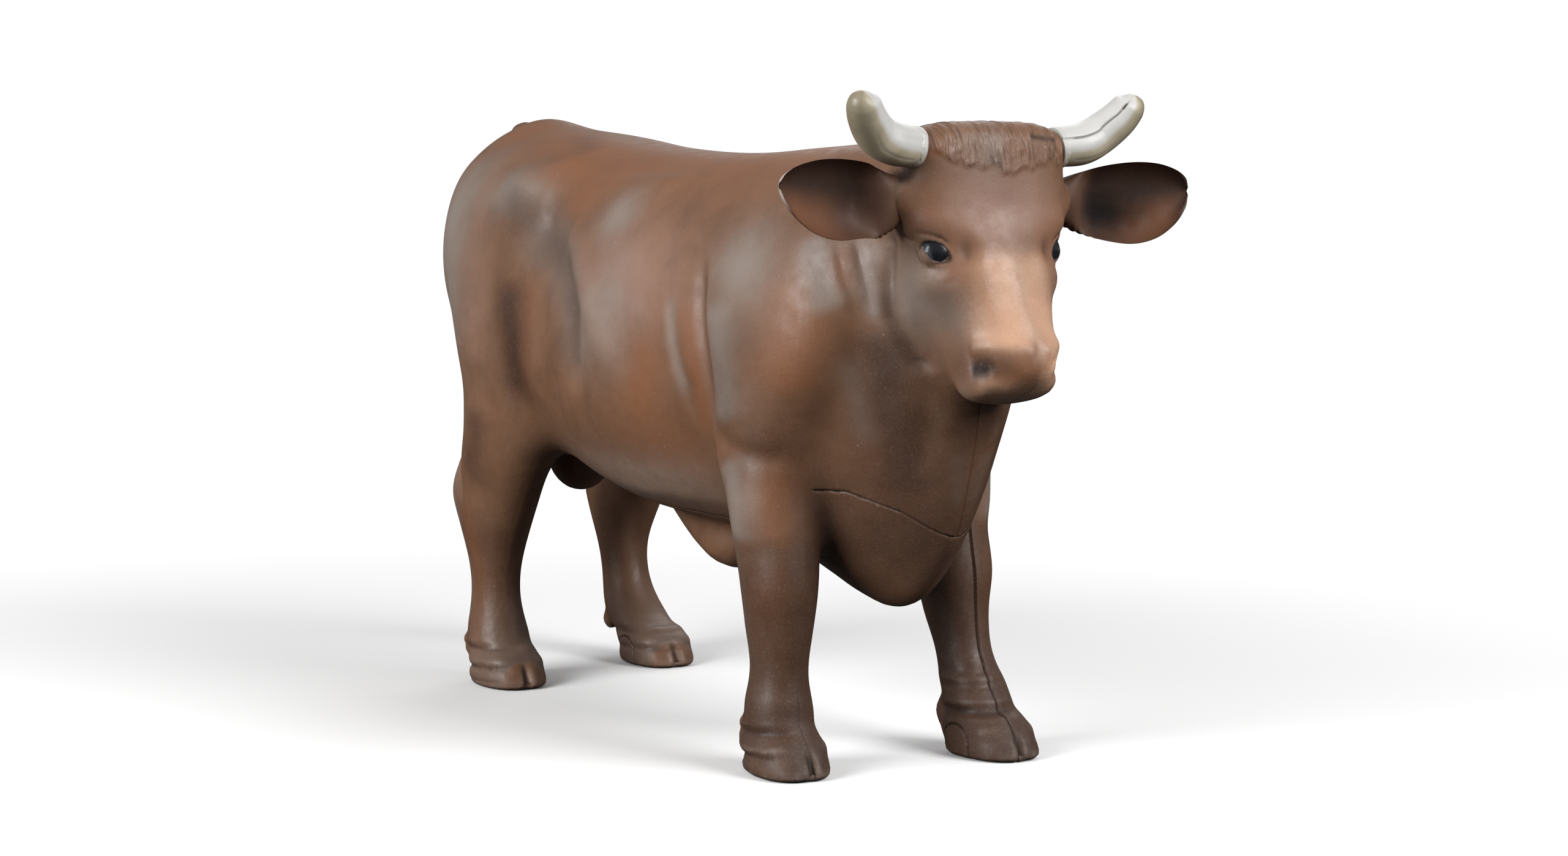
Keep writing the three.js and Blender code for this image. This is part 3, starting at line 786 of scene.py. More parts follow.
def sprayed(points: Array, *tables: Sprays) -> dict[str, Array]:
    """Adds up the sprays that reach each point.

    Args:
        points: Points in the bull's space.
        *tables: The passes of the airbrush, one table after the other.

    Returns:
        The amount of each coat at each point, from 0 to 1.
    """
    bare = {coat.value: np.ones(len(points)) for coat in Coat}
    for table in tables:
        for coat, passes in table.items():
            for spray in passes:
                bare[coat.value] *= 1.0 - np.clip(spray.lift_at(points), 0.0, 1.0)
    return {name: 1.0 - left for name, left in bare.items()}


Colour = tuple[float, float, float]


class Tree:
    """A node tree with short ways to add and join nodes."""

    def __init__(self, tree: bpy.types.NodeTree) -> None:
        """Wraps a node tree."""
        self.tree = tree

    def add(self, kind: str, settings: dict | None = None, **inputs: object) -> Node:
        """Adds a node.

        Args:
            kind: The node's type, without the word ShaderNode.
            settings: The node's own properties.
            **inputs: Values or sockets for its inputs, by name, with _ for a space.

        Returns:
            The node.
        """
        node = self.tree.nodes.new("ShaderNodeGroup" if kind == "Group" else f"ShaderNode{kind}")
        for key, value in (settings or {}).items():
            setattr(node, key, value)
        for key, value in inputs.items():
            numbered = key[0] == "i" and key[1:].isdigit()
            self.feed(node.inputs[int(key[1:]) if numbered else key.replace("_", " ")], value)
        return node

    def feed(self, socket: Socket, value: object) -> None:
        """Joins a socket to another one, or sets its value."""
        if isinstance(value, Socket):
            self.tree.links.new(value, socket)
        elif isinstance(value, tuple) and len(value) == 3 and socket.type == "RGBA":
            socket.default_value = (*value, 1.0)
        else:
            socket.default_value = value

    def math(self, way: str, first: object, second: object = 0.0, clamp: bool = False) -> Socket:
        """Adds a sum, product or the like of two values and returns its result."""
        return self.add("Math", {"operation": way, "use_clamp": clamp}, i0=first, i1=second).outputs[0]

    def times(self, first: object, second: object) -> Socket:
        """Adds a product of two values and returns its result."""
        return self.math("MULTIPLY", first, second)

    def ramp(self, value: object, low: float, high: float, start: float = 0.0, end: float = 1.0) -> Socket:
        """Eases a value from low and high to start and end."""
        settings = {"interpolation_type": "SMOOTHSTEP"}
        names = {"From_Min": low, "From_Max": high, "To_Min": start, "To_Max": end}
        return self.add("MapRange", settings, Value=value, **names).outputs["Result"]

    def blend(self, share: object, below: object, over: object, way: str = "MIX") -> Socket:
        """Lays one colour over another and returns the result."""
        node = self.add("Mix", {"data_type": "RGBA", "blend_type": way}, i0=share, i6=below, i7=over)
        return node.outputs[2]

    def noise(self, scale: float, detail: float = 2.0, rough: float = 0.5, seed: float = 0.0) -> Socket:
        """Adds noise in the piece's own space and returns its value."""
        place = self.add("TexCoord").outputs["Object"]
        looks = {"Vector": place, "W": seed, "Scale": scale, "Detail": detail, "Roughness": rough}
        return self.add("TexNoise", {"noise_dimensions": "4D"}, **looks).outputs["Fac"]

    def mask(self, name: str) -> Socket:
        """Reads a value that the piece holds at its points."""
        return self.add("Attribute", {"attribute_type": "GEOMETRY", "attribute_name": name}).outputs["Fac"]


def node_group(
    name: str, takes: dict[str, tuple[str, object]], gives: dict[str, str]
) -> tuple[Tree, dict[str, Socket], Node]:
    """Starts a shader node group.

    Args:
        name: Its name.
        takes: Its inputs, each with its kind and its first value.
        gives: Its outputs, each with its kind.

    Returns:
        Its tree, its inputs by name and its output node.
    """
    group = bpy.data.node_groups.new(name, "ShaderNodeTree")
    for label, (kind, value) in takes.items():
        socket = group.interface.new_socket(label, in_out="INPUT", socket_type=f"NodeSocket{kind}")
        socket.default_value = (*value, 1.0) if isinstance(value, tuple) else value
    for label, kind in gives.items():
        group.interface.new_socket(label, in_out="OUTPUT", socket_type=f"NodeSocket{kind}")
    tree = Tree(group)
    entry = tree.tree.nodes.new("NodeGroupInput")
    leave = tree.tree.nodes.new("NodeGroupOutput")
    return tree, {socket.name: socket for socket in entry.outputs}, leave


@dataclass
class Effects:
    """The node groups that more than one finish uses."""

    coat: bpy.types.NodeTree = field(init=False)
    grain: bpy.types.NodeTree = field(init=False)
    mottle: bpy.types.NodeTree = field(init=False)

    def __post_init__(self) -> None:
        """Builds the groups once."""
        self.coat = self.airbrushed_coat()
        self.grain = self.moulded_grain()
        self.mottle = self.cloudy_mottle()

    def airbrushed_coat(self) -> bpy.types.NodeTree:
        """Makes a sprayed coat, whose edge breaks up into cloud and fine mist.

        Returns:
            The group.
        """
        tree, takes, leave = node_group(
            "airbrushed_coat",
            {
                "Below": ("Color", (0.2, 0.1, 0.07)),
                "Paint": ("Color", (0.3, 0.3, 0.3)),
                "Amount": ("Float", 0.0),
                "Cloud": ("Float", 0.3),
                "Mist": ("Float", 0.25),
            },
            {"Colour": "Color"},
        )
        cloud = tree.times(tree.math("SUBTRACT", tree.noise(210.0, 3.0, 0.55, 3.0), 0.5), takes["Cloud"])
        mist = tree.times(tree.math("SUBTRACT", tree.noise(2600.0, 2.0, 0.6, 5.0), 0.5), takes["Mist"])
        rest = tree.math("SUBTRACT", 1.0, takes["Amount"])
        edge = tree.times(tree.times(takes["Amount"], rest), 4.0)
        broken = tree.times(tree.math("ADD", cloud, mist), edge)
        share = tree.math("ADD", takes["Amount"], tree.times(broken, 1.6), True)
        tree.feed(leave.inputs["Colour"], tree.blend(share, takes["Below"], takes["Paint"]))
        return tree.tree

    def moulded_grain(self) -> bpy.types.NodeTree:
        """Makes the fine grain of painted plastic, with scattered light specks.

        Returns:
            The group.
        """
        tree, takes, leave = node_group(
            "moulded_grain",
            {"Scale": ("Float", 1.0), "Coarse": ("Float", 0.5)},
            {"Height": "Float", "Speck": "Float"},
        )
        place = tree.add("TexCoord").outputs["Object"]
        fine = tree.add("TexNoise", None, Vector=place, Scale=tree.times(takes["Scale"], 3400.0), Detail=3.0)
        wide = tree.add("TexNoise", None, Vector=place, Scale=tree.times(takes["Scale"], 420.0), Detail=3.0)
        soft = tree.times(wide.outputs["Fac"], takes["Coarse"])
        height = tree.math("ADD", tree.times(fine.outputs["Fac"], 0.3), soft)
        dots = tree.add("TexVoronoi", None, Vector=place, Scale=tree.times(takes["Scale"], 620.0))
        rare = tree.ramp(tree.noise(330.0, 1.0, 0.5, 9.0), 0.6, 0.68)
        speck = tree.times(tree.ramp(dots.outputs["Distance"], 0.11, 0.04), rare)
        tree.feed(leave.inputs["Height"], height)
        tree.feed(leave.inputs["Speck"], speck)
        return tree.tree

    def cloudy_mottle(self) -> bpy.types.NodeTree:
        """Makes soft changes of tone, as where one spray lies over another.

        Returns:
            The group.
        """
        tree, takes, leave = node_group(
            "cloudy_mottle", {"Size": ("Float", 0.012), "Contrast": ("Float", 1.0)}, {"Value": "Float"}
        )
        place = tree.add("TexCoord").outputs["Object"]
        scale = tree.math("DIVIDE", 1.0, takes["Size"])
        cloud = tree.add("TexNoise", None, Vector=place, Scale=scale, Detail=3.0, Distortion=0.4)
        value = tree.times(tree.math("SUBTRACT", cloud.outputs["Fac"], 0.5), takes["Contrast"])
        tree.feed(leave.inputs["Value"], tree.math("ADD", value, 0.5, True))
        return tree.tree

    def mottled(self, tree: Tree, size: float, contrast: float) -> Socket:
        """Adds the cloudy mottle to a finish and returns its value."""
        return tree.add("Group", {"node_tree": self.mottle}, Size=size, Contrast=contrast).outputs["Value"]

    def coated(self, tree: Tree, below: Socket, paint: Colour, mask: str) -> Socket:
        """Sprays a coat where one of the piece's masks says and returns the colour."""
        amount = tree.mask(mask)
        node = tree.add("Group", {"node_tree": self.coat}, Below=below, Paint=paint, Amount=amount)
        return node.outputs["Colour"]


@dataclass(frozen=True)
class Finish:
    """What every finish of the toy shares.

    Attributes:
        name: The material's name.
        roughness: How matt it is.
        bump: Height of its grain in metres.
        grain: Fineness of its grain.
    """

    name: str
    roughness: float = 0.46
    bump: float = 0.00007
    grain: float = 1.0

    def start(self, effects: Effects) -> tuple[Tree, Node, Node]:
        """Starts the material, with its grain.

        Args:
            effects: The shared node groups.

        Returns:
            Its tree, its shader and its grain node.
        """
        material = bpy.data.materials.new(self.name)
        material.use_nodes = True
        tree = Tree(material.node_tree)
        shader = material.node_tree.nodes["Principled BSDF"]
        grain = tree.add("Group", {"node_tree": effects.grain}, Scale=self.grain, Coarse=1.0)
        bump = tree.add("Bump", None, Height=grain.outputs["Height"], Distance=self.bump, Strength=0.8)
        tree.feed(shader.inputs["Normal"], bump.outputs["Normal"])
        worn = tree.ramp(grain.outputs["Height"], 0.45, 0.85, self.roughness - 0.07, self.roughness + 0.09)
        tree.feed(shader.inputs["Roughness"], worn)
        return tree, shader, grain

    def dull(self, tree: Tree, shader: Node, amount: float) -> None:
        """Makes the finish more matt where the black coat and its painted shade lie.

        Args:
            tree: The finish's tree.
            shader: Its shader.
            amount: How much rougher it is where that coat is full.
        """
        worn = shader.inputs["Roughness"].links[0].from_socket
        blackened = tree.times(tree.mask("soot"), amount)
        tree.feed(shader.inputs["Roughness"], tree.math("ADD", worn, blackened, True))


@dataclass(frozen=True)
class HidePaint(Finish):
    """The airbrushed brown of the skin, with painted shade in its hollows and creases and painted light in
    places.

    Attributes:
        light: The plastic's lighter tone.
        deep: Its deeper tone.
        strand_scale: How close the hair's strands lie along, across and up.
        coats: The colours of the coats, the first one lowest.
    """

    light: Colour = (0.198, 0.098, 0.053)
    deep: Colour = (0.116, 0.057, 0.032)
    strand_scale: Point = (200.0, 1100.0, 200.0)
    coats: tuple[tuple[Coat, Colour], ...] = (
        (Coat.RUST, (0.205, 0.084, 0.038)),
        (Coat.ROSE, (0.29, 0.170, 0.128)),
        (Coat.TAUPE, (0.235, 0.192, 0.165)),
        (Coat.TAN, (0.56, 0.33, 0.215)),
        # The umber and near black coats hold umber and black paint and painted shade.
        (Coat.UMBER, (0.054, 0.028, 0.018)),
        (Coat.SOOT, (0.010, 0.008, 0.008)),
    )

    def make(self, effects: Effects) -> Material:
        """Builds the material.

        Args:
            effects: The shared node groups.

        Returns:
            The material.
        """
        tree, shader, grain = self.start(effects)
        mottle = effects.mottled(tree, 0.009, 1.8)
        colour = tree.blend(mottle, self.deep, self.light)
        for coat, paint in self.coats:
            colour = effects.coated(tree, colour, paint, coat.value)
        mist = tree.ramp(tree.noise(2900.0, 2.0, 0.6, 7.0), 0.5, 0.75, 0.0, 0.2)
        colour = tree.blend(mist, colour, (0.27, 0.165, 0.115))
        strand = self.strands(tree, shader)
        # Painted shade in the furrows between the hair's strands and painted light on their crests.
        colour = tree.blend(tree.ramp(strand, 0.46, 0.36, 0.0, 0.5), colour, (0.040, 0.022, 0.016))
        colour = tree.blend(tree.ramp(strand, 0.54, 0.66, 0.0, 0.12), colour, (0.27, 0.21, 0.17))
        # Painted shade in hollows and creases from the curve mask; ridges are lightened as wear.
        hollow = tree.ramp(tree.mask("curve"), 0.02, 0.5)
        colour = tree.blend(tree.times(hollow, 0.6), colour, (0.035, 0.020, 0.016))
        ridge = tree.ramp(tree.mask("curve"), -0.12, -0.7)
        colour = tree.blend(tree.times(ridge, 0.22), colour, (0.42, 0.33, 0.28))
        colour = tree.blend(tree.times(tree.mask("seam"), 0.9), colour, (0.02, 0.012, 0.010))
        colour = tree.blend(tree.times(grain.outputs["Speck"], 0.35), colour, (0.55, 0.45, 0.38))
        tree.feed(shader.inputs["Base Color"], colour)
        self.dull(tree, shader, 0.5)
        shader.inputs["Specular IOR Level"].default_value = 0.36
        return bpy.data.materials[self.name]

    def strands(self, tree: Tree, shader: Node) -> Socket:
        """Lays fine strands over the hair.

        Args:
            tree: The finish's tree.
            shader: Its shader.

        Returns:
            Their height, which is a half where there is none.
        """
        place = tree.add("TexCoord").outputs["Object"]
        drawn = tree.add("VectorMath", {"operation": "MULTIPLY"}, i0=place, i1=self.strand_scale)
        noise = tree.add("TexNoise", None, Vector=drawn.outputs[0], Scale=1.0, Detail=3.0, Distortion=0.6)
        swing = tree.math("SUBTRACT", noise.outputs["Fac"], 0.5)
        height = tree.math("ADD", tree.times(swing, tree.mask("hair")), 0.5)
        bump = tree.add("Bump", None, Height=height, Distance=0.0006, Strength=1.0)
        tree.feed(bump.inputs["Normal"], shader.inputs["Normal"].links[0].from_socket)
        tree.feed(shader.inputs["Normal"], bump.outputs["Normal"])
        return height


@dataclass(frozen=True)
class HornPaint(Finish):
    """White on top, ivory and olive below as paint and painted light and shade, with a thin line at the
    mould's seam.
    """

    def make(self, effects: Effects) -> Material:
        """Builds the material.

        Args:
            effects: The shared node groups.

        Returns:
            The material.
        """
        tree, shader, _ = self.start(effects)
        mottle = effects.mottled(tree, 0.004, 1.4)
        under = tree.blend(mottle, (0.32, 0.275, 0.185), (0.50, 0.44, 0.33))
        # White paint on the back half, and painted light and shade: whiter facing up, ivory facing down.
        shade = tree.ramp(tree.mask("shade"), 0.1, 0.9)
        colour = tree.blend(shade, (0.50, 0.495, 0.475), under)
        # Painted shade in olive where the horn faces down.
        colour = tree.blend(tree.times(tree.mask("smoke"), 0.75), colour, (0.16, 0.135, 0.085))
        colour = tree.blend(tree.mask("seam"), colour, (0.06, 0.038, 0.024))
        colour = tree.blend(tree.times(tree.mask("rim"), 0.6), colour, (0.48, 0.46, 0.42))
        tree.feed(shader.inputs["Base Color"], colour)
        shader.inputs["IOR"].default_value = 1.48
        return bpy.data.materials[self.name]


@dataclass(frozen=True)
class EarPaint(Finish):
    """Brown outside, dark inside and near black low at the root, partly painted shade, with a painted
    highlight at the tip.

    Attributes:
        coats: The colours of the coats by mask, the first one lowest.
    """

    coats: tuple[tuple[str, Colour], ...] = (
        ("cup", (0.032, 0.015, 0.010)),
        ("rust", (0.17, 0.067, 0.031)),
        ("rose", (0.17, 0.095, 0.070)),
        ("soot", (0.005, 0.004, 0.004)),
    )

    def make(self, effects: Effects) -> Material:
        """Builds the material.

        Args:
            effects: The shared node groups.

        Returns:
            The material.
        """
        tree, shader, _ = self.start(effects)
        mottle = effects.mottled(tree, 0.006, 1.6)
        colour = tree.blend(mottle, (0.062, 0.030, 0.019), (0.112, 0.055, 0.034))
        for mask, paint in self.coats:
            colour = effects.coated(tree, colour, paint, mask)
        # Painted highlight on the rim at the ear's tip.
        colour = tree.blend(tree.mask("rim"), colour, (0.40, 0.34, 0.31))
        self.dull(tree, shader, 0.4)
        tree.feed(shader.inputs["Base Color"], colour)
        shader.inputs["Specular IOR Level"].default_value = 0.22
        return bpy.data.materials[self.name]


@dataclass(frozen=True)
class EyeGloss(Finish):
    """Glossy black, with a painted blue-grey highlight."""

    def make(self, effects: Effects) -> Material:
        """Builds the material.

        Args:
            effects: The shared node groups.

        Returns:
            The material.
        """
        tree, shader, _ = self.start(effects)
        mottle = effects.mottled(tree, 0.0012, 1.2)
        dark = tree.blend(mottle, (0.004, 0.005, 0.007), (0.016, 0.018, 0.022))
        # Painted highlight from the gleam mask.
        colour = tree.blend(tree.times(tree.mask("gleam"), 0.7), dark, (0.060, 0.070, 0.082))
        tree.feed(shader.inputs["Base Color"], colour)
        shader.inputs["Specular IOR Level"].default_value = 0.25
        shader.inputs["Coat Weight"].default_value = 0.2
        shader.inputs["Coat Roughness"].default_value = 0.1
        return bpy.data.materials[self.name]


def piece(
    name: str,
    space: Space,
    points: Array,
    faces: Array,
    material: Material,
    nodes: Sequence[str],
    masks: dict[str, Array],
    shading: Array | None = None,
) -> Thing:
    """Makes a Blender object that stands for some of the frame's nodes.

    Args:
        name: The piece's name.
        space: The bull's space.
        points: Its points, in the bull's space.
        faces: Its faces, three or four corners a row.
        material: Its finish.
        nodes: The nodes that it stands for.
        masks: Values at its points that the finish reads, by name.
        shading: The way that each corner of its faces is shaded, where its neighbours share it.

    Returns:
        The object.
    """
    mesh = bpy.data.meshes.new(name)
    width = faces.shape[1]
    mesh.vertices.add(len(points))
    mesh.vertices.foreach_set("co", space.outward(points).astype(np.float32).ravel())
    mesh.loops.add(faces.size)
    mesh.loops.foreach_set("vertex_index", faces.astype(np.int32).ravel())
    mesh.polygons.add(len(faces))
    mesh.polygons.foreach_set("loop_start", np.arange(0, faces.size, width, dtype=np.int32))
    mesh.update(calc_edges=True)
    mesh.polygons.foreach_set("use_smooth", np.ones(len(faces), bool))
    for mask, values in masks.items():
        layer = mesh.attributes.new(mask, "FLOAT", "POINT")
        layer.data.foreach_set("value", np.asarray(values, np.float32))
    mesh.materials.append(material)
    mesh.validate()
    if shading is not None:
        mesh.normals_split_custom_set(shading)
    thing = bpy.data.objects.new(name, mesh)
    bpy.context.scene.collection.objects.link(thing)
    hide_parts(*nodes)
    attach(thing, ROOT)
    log.info("%s: %d points, %d faces", name, len(points), len(faces))
    return thing


def curve_through(corners: Sequence[Sequence[float]], shares: Array) -> Array:
    """Runs a smooth curve through points.

    Args:
        corners: The points.
        shares: Where the curve is read, from 0 to 1, with each stretch as long as the next.

    Returns:
        The curve's points.
    """
    knots = np.asarray(corners, float)
    knots = np.vstack([2 * knots[0] - knots[1], knots, 2 * knots[-1] - knots[-2]])
    t = np.asarray(shares) * (len(corners) - 1.0)
    i = np.minimum(t.astype(int), len(corners) - 2)
    u = (t - i)[:, None]
    a, b, c, d = (knots[i + k] for k in range(4))
    return 0.5 * (2 * b + (c - a) * u + (2 * a - 5 * b + 4 * c - d) * u**2 + (3 * b - a - 3 * c + d) * u**3)


def evenly_through(corners: Array, shares: Array) -> Array:
    """Runs a smooth curve through points and returns its points at shares of its length."""
    fine = curve_through(corners, np.linspace(0.0, 1.0, 400))
    length = np.concatenate([[0.0], np.cumsum(np.linalg.norm(np.diff(fine, axis=0), axis=1))])
    return np.stack([np.interp(shares * length[-1], length, column) for column in fine.T], axis=1)


def ring_faces(rings: int, around: int) -> Array:
    """Joins the closed rings of a tube.

    Args:
        rings: How many rings it has.
        around: How many places a ring has.

    Returns:
        Its quads, which face out where the rings turn left along it.
    """
    ring, spot = np.meshgrid(np.arange(rings - 1), np.arange(around), indexing="ij")
    after = (spot + 1) % around
    near, far = ring * around, (ring + 1) * around
    return np.stack([near + spot, near + after, far + after, far + spot], axis=-1).reshape(-1, 4)


def turns_round(around: int) -> Array:
    """Returns the turn of each place round a ring, in radians, as one row."""
    return np.linspace(0.0, 2 * math.pi, around, endpoint=False)[None, :]


def tube(rings: Array) -> tuple[Array, Array]:
    """Skins closed rings of points, and closes both ends at their middles.

    Args:
        rings: Points by ring and by place round it.

    Returns:
        The points, and the triangles, which face out.
    """
    count, around, _ = rings.shape
    points = np.vstack([rings.reshape(-1, 3), rings[0].mean(axis=0), rings[-1].mean(axis=0)])
    quads = ring_faces(count, around)
    spot = np.arange(around)
    after = (spot + 1) % around
    last = (count - 1) * around
    ends = np.full(around, count * around)
    faces = np.vstack([
        quads[:, [0, 1, 2]], quads[:, [0, 2, 3]], np.stack([after, spot, ends], 1),
        np.stack([last + spot, last + after, ends + 1], 1),
    ])
    a, b, c = points[faces.T]
    inside_out = np.einsum("ij,ij->", a, np.cross(b, c)) < 0.0
    return points, faces[:, ::-1] if inside_out else faces


def capped(masks: dict[str, Array]) -> dict[str, Array]:
    """Adds the values at the two end points of a tube to masks by ring and by place round it."""
    return {name: np.append(mask, [mask[0].mean(), mask[-1].mean()]) for name, mask in masks.items()}


def frames_along(path: Array, up: Array) -> tuple[Array, Array]:
    """Returns two ways across a path at each of its points, the second one nearest to up."""
    forward = unit(np.gradient(path, axis=0))
    across = unit(np.cross(forward, up))
    return across, np.cross(across, forward)


def spokes(across: Array, above: Array, turn: Array) -> Array:
    """Returns the ways out to the places round each ring, from two ways across its path."""
    return across[:, None] * np.cos(turn)[..., None] + above[:, None] * np.sin(turn)[..., None]


@dataclass(frozen=True)
class Horn:
    """One horn, moulded in two halves whose step shows along the top.

    Attributes:
        side: The side it grows on.
        base: Its base, on the left.
        spread: How far it goes forward, out and up.
        path: Its path, in shares of the spread.
        girth: Its radius along the path, in shares.
        radius: Its radius.
        blunt: Where along it the blunt tip begins.
        seam_turn: Degrees from straight ahead up to the seam.
        step: How far the back half stands over the front half.
        rim: How far the rim at the base stands out.
        around: Points round a ring.
        rings: Rings along it.
    """

    side: Side
    base: Point = (60.2, 12.4, 95.2)
    spread: Point = (2.8, 11.7, 8.2)
    path: tuple[Point, ...] = (
        (0.0, 0.0, 0.0), (0.03, 0.1, 0.02), (0.25, 0.385, 0.07), (0.36, 0.645, 0.24), (0.88, 0.87, 0.53),
        (1.28, 0.985, 0.8), (1.5, 1.01, 0.975),
    )
    girth: tuple[float, ...] = (0.98, 1.02, 1.04, 1.02, 0.97, 0.88, 0.74)
    radius: float = 2.85
    blunt: float = 0.865
    seam_turn: float = 48.0
    step: float = 0.26
    rim: float = 0.12
    around: int = 144
    rings: int = 96

    def build(self, space: Space, material: Material) -> Thing:
        """Builds the horn and dresses it.

        Args:
            space: The bull's space.
            material: Its finish.

        Returns:
            The horn.
        """
        share = np.sin(np.linspace(0.0, math.pi / 2, self.rings)) ** 1.2
        path = np.asarray(self.base) + evenly_through(np.asarray(self.path) * self.spread, share)
        girth = curve_through([(value, 0.0, 0.0) for value in self.girth], share)[:, :1] * self.radius
        blunt = np.clip((share - self.blunt) / (1.0 - self.blunt), 0.0, 0.9995)[:, None]
        girth = girth * np.sqrt(1.0 - blunt**2)
        across, above = frames_along(path, np.array([0.35, -0.3, 1.0]))
        turn = turns_round(self.around)
        ragged = 0.5 * np.sin(5 * turn + 0.7) + 0.3 * np.sin(11 * turn + 2.0) + 0.2 * np.sin(23 * turn)
        from_seam = (np.degrees(turn) - self.seam_turn + 180.0) % 360.0 - 180.0
        left = self.side is Side.LEFT
        crisp = 1.5 if left else 12.0
        back = ease(-crisp, crisp, from_seam) * ease(150.0, 110.0, from_seam)
        along = share[:, None]
        open_seam = bell(from_seam, 2.4) * ease(1.0, 0.93, along) * left
        rim = ease(0.075 + 0.02 * ragged, 0.05 + 0.02 * ragged, along)
        crease = bell(from_seam + 62.0 + 9.0 * np.sin(4.0 * along), 5.0) * ease(0.08, 0.2, along)
        crease *= ease(0.75, 0.5, along)
        slit = bell(from_seam, 3.2) * ease(0.8, 0.84, along) * ease(0.93, 0.89, along) * left
        relief = self.step * back - 0.14 * open_seam - 0.05 * crease + self.rim * rim
        tall = girth + girth / self.radius * relief
        tall = tall - 0.2 * slit * girth / self.radius
        rings = path[:, None] + spokes(across, above, turn) * tall[..., None]
        points, faces = tube(rings * (1.0, self.side.value, 1.0))
        up = np.broadcast_to(np.sin(turn), tall.shape)
        # Painted light and shade: besides the white paint on the back half, the upward side is whiter and the
        # downward side ivory.
        shade = ease(0.5, -0.1, up + 0.1 * (1.0 - along)) * (1.0 - 0.9 * back)
        # Painted shade in olive on the side that faces down, and low near the tip.
        smoke = ease(-0.1, -0.95, up) * 0.7 + 0.4 * ease(0.55, 0.8, along) * ease(0.3, -0.3, up)
        # The tip is toned a little towards ivory, as painted shade round its outline.
        shade = np.maximum(shade, 0.3 * ease(0.9, 0.985, along))
        seam = np.maximum(open_seam * ease(0.1, 0.16, along) * 0.7, slit)
        masks = {"shade": shade, "smoke": np.clip(smoke, 0.0, 1.0), "seam": seam, "rim": rim}
        node = f"horn_{self.side.name.lower()}"
        return piece(f"{node}_painted", space, points, faces, material, [node], capped(masks))


@dataclass(frozen=True)
class Ear:
    """One ear, a leaf whose rims curl forward round a cup.

    Attributes:
        side: The side it grows on.
        upper: How high its upper edge stands, as a share.
        lobe: How far its lower edge hangs at the root.
        root: Its root, on the left.
        length: Its length.
        half_height: Half of its height.
        half_thickness: Half of its thickness.
        sweep: How far its tip stands ahead of its root.
        stagger: How much lower the left ear is set than the middle of the two.
        outline: Rows of along, drop, height and thickness, in shares.
        curl: How far the rims curl forward, as a share of the thickness.
        around: Points round a section.
        rings: Sections along it.
    """

    side: Side
    upper: float = 1.0
    lobe: float = 0.4
    root: Point = (57.8, 15.6, 88.4)
    length: float = 20.9
    half_height: float = 6.2
    half_thickness: float = 2.5
    sweep: float = 4.0
    stagger: float = 0.6
    outline: tuple[tuple[float, float, float, float], ...] = (
        (-0.16, -0.04, 0.42, 0.8), (0.0, -0.02, 0.52, 0.88), (0.12, -0.06, 0.7, 0.95),
        (0.28, -0.09, 0.9, 1.0), (0.5, -0.1, 1.0, 1.0), (0.7, -0.05, 0.92, 0.9), (0.86, 0.04, 0.68, 0.7),
        (0.96, 0.13, 0.38, 0.45), (1.0, 0.17, 0.1, 0.15),
    )
    curl: float = 0.75
    around: int = 192
    rings: int = 120

    def build(self, space: Space, material: Material) -> Thing:
        """Builds the ear and dresses it.

        Args:
            space: The bull's space.
            material: Its finish.

        Returns:
            The ear.
        """
        rows = curve_through(self.outline, np.linspace(0.0, 1.0, self.rings))
        along, drop, height, thick = (column[:, None] for column in rows.T)
        height = np.maximum(height, 0.02) * self.half_height
        thick = np.maximum(thick, 0.02) * self.half_thickness
        turn = turns_round(self.around)
        above, ahead = np.sin(turn), np.cos(turn)
        front = np.clip(ahead, 0.0, 1.0)
        open_cup = ease(0.0, 0.3, along)
        thin = ease(0.0, 0.45, np.abs(ahead))
        curl = self.curl * thick * above**4 * open_cup
        deep = bell(along - 0.3, 0.2) * bell(above + 0.3, 0.5) * front
        x = self.root[0] + along * self.sweep + curl
        back = np.abs(ahead) ** 0.9
        face = 1.0 - open_cup * (1.5 - 0.1 * above)
        x = x + thick * np.where(ahead > 0.0, back * face, -back)
        x = x - 0.5 * deep * open_cup
        lobe = self.lobe * bell(along - 0.02, 0.2) * ease(0.0, -0.9, above)
        ragged = 0.16 * np.sin(along * 130.0) * ease(-0.86, -1.0, above) * ease(0.3, 0.05, along)
        above = above * np.where(above > 0.0, self.upper, 1.0)
        middle = self.root[2] - self.side.value * self.stagger + drop * self.half_height
        z = middle + height * above - lobe + ragged
        y = np.broadcast_to((self.root[1] + along * self.length) * self.side.value, x.shape)
        points, faces = tube(np.stack([x, y, z], axis=-1))
        left = 1.0 if self.side is Side.LEFT else 0.0
        inner = front**0.5 * open_cup * thin
        upper = ease(-0.45, 0.35, above + 0.3 * (0.5 - along))
        # The ear's dark inner paint, with painted shade that deepens towards the upper rim.
        cup = inner * (0.25 + 0.7 * upper) * ease(0.05, 0.3, along)
        rust = inner * ease(0.25, -0.5, above) * ease(0.3, 0.6, along) * ease(1.0, 0.8, along)
        rose = inner * bell(above + 0.62, 0.3) * bell(along - 0.26, 0.13)
        # Painted shade, near black, deep in the cup low at the root, strongest on the left ear.
        root_shade = inner * bell(above + 0.3, 0.7) * bell(along - 0.36, 0.38)
        # Painted highlight on the rim of the tip, at its back.
        tip = ease(0.9, 0.99, along) * ease(0.5, 0.0, ahead) * 0.9
        edge = bell(ahead, 0.12) * ease(0.35, 0.7, above) * ease(0.2, 0.5, along)
        masks = {
            "cup": np.clip(cup + edge * 0.5, 0.0, 1.0),
            "rust": rust * 0.9,
            "rose": rose * (0.4 - 0.4 * left),
            "soot": root_shade * (0.3 + 0.67 * left),
            "rim": tip,
        }
        node = f"ear_{self.side.name.lower()}"
        return piece(f"{node}_painted", space, points, faces, material, [node], capped(masks))


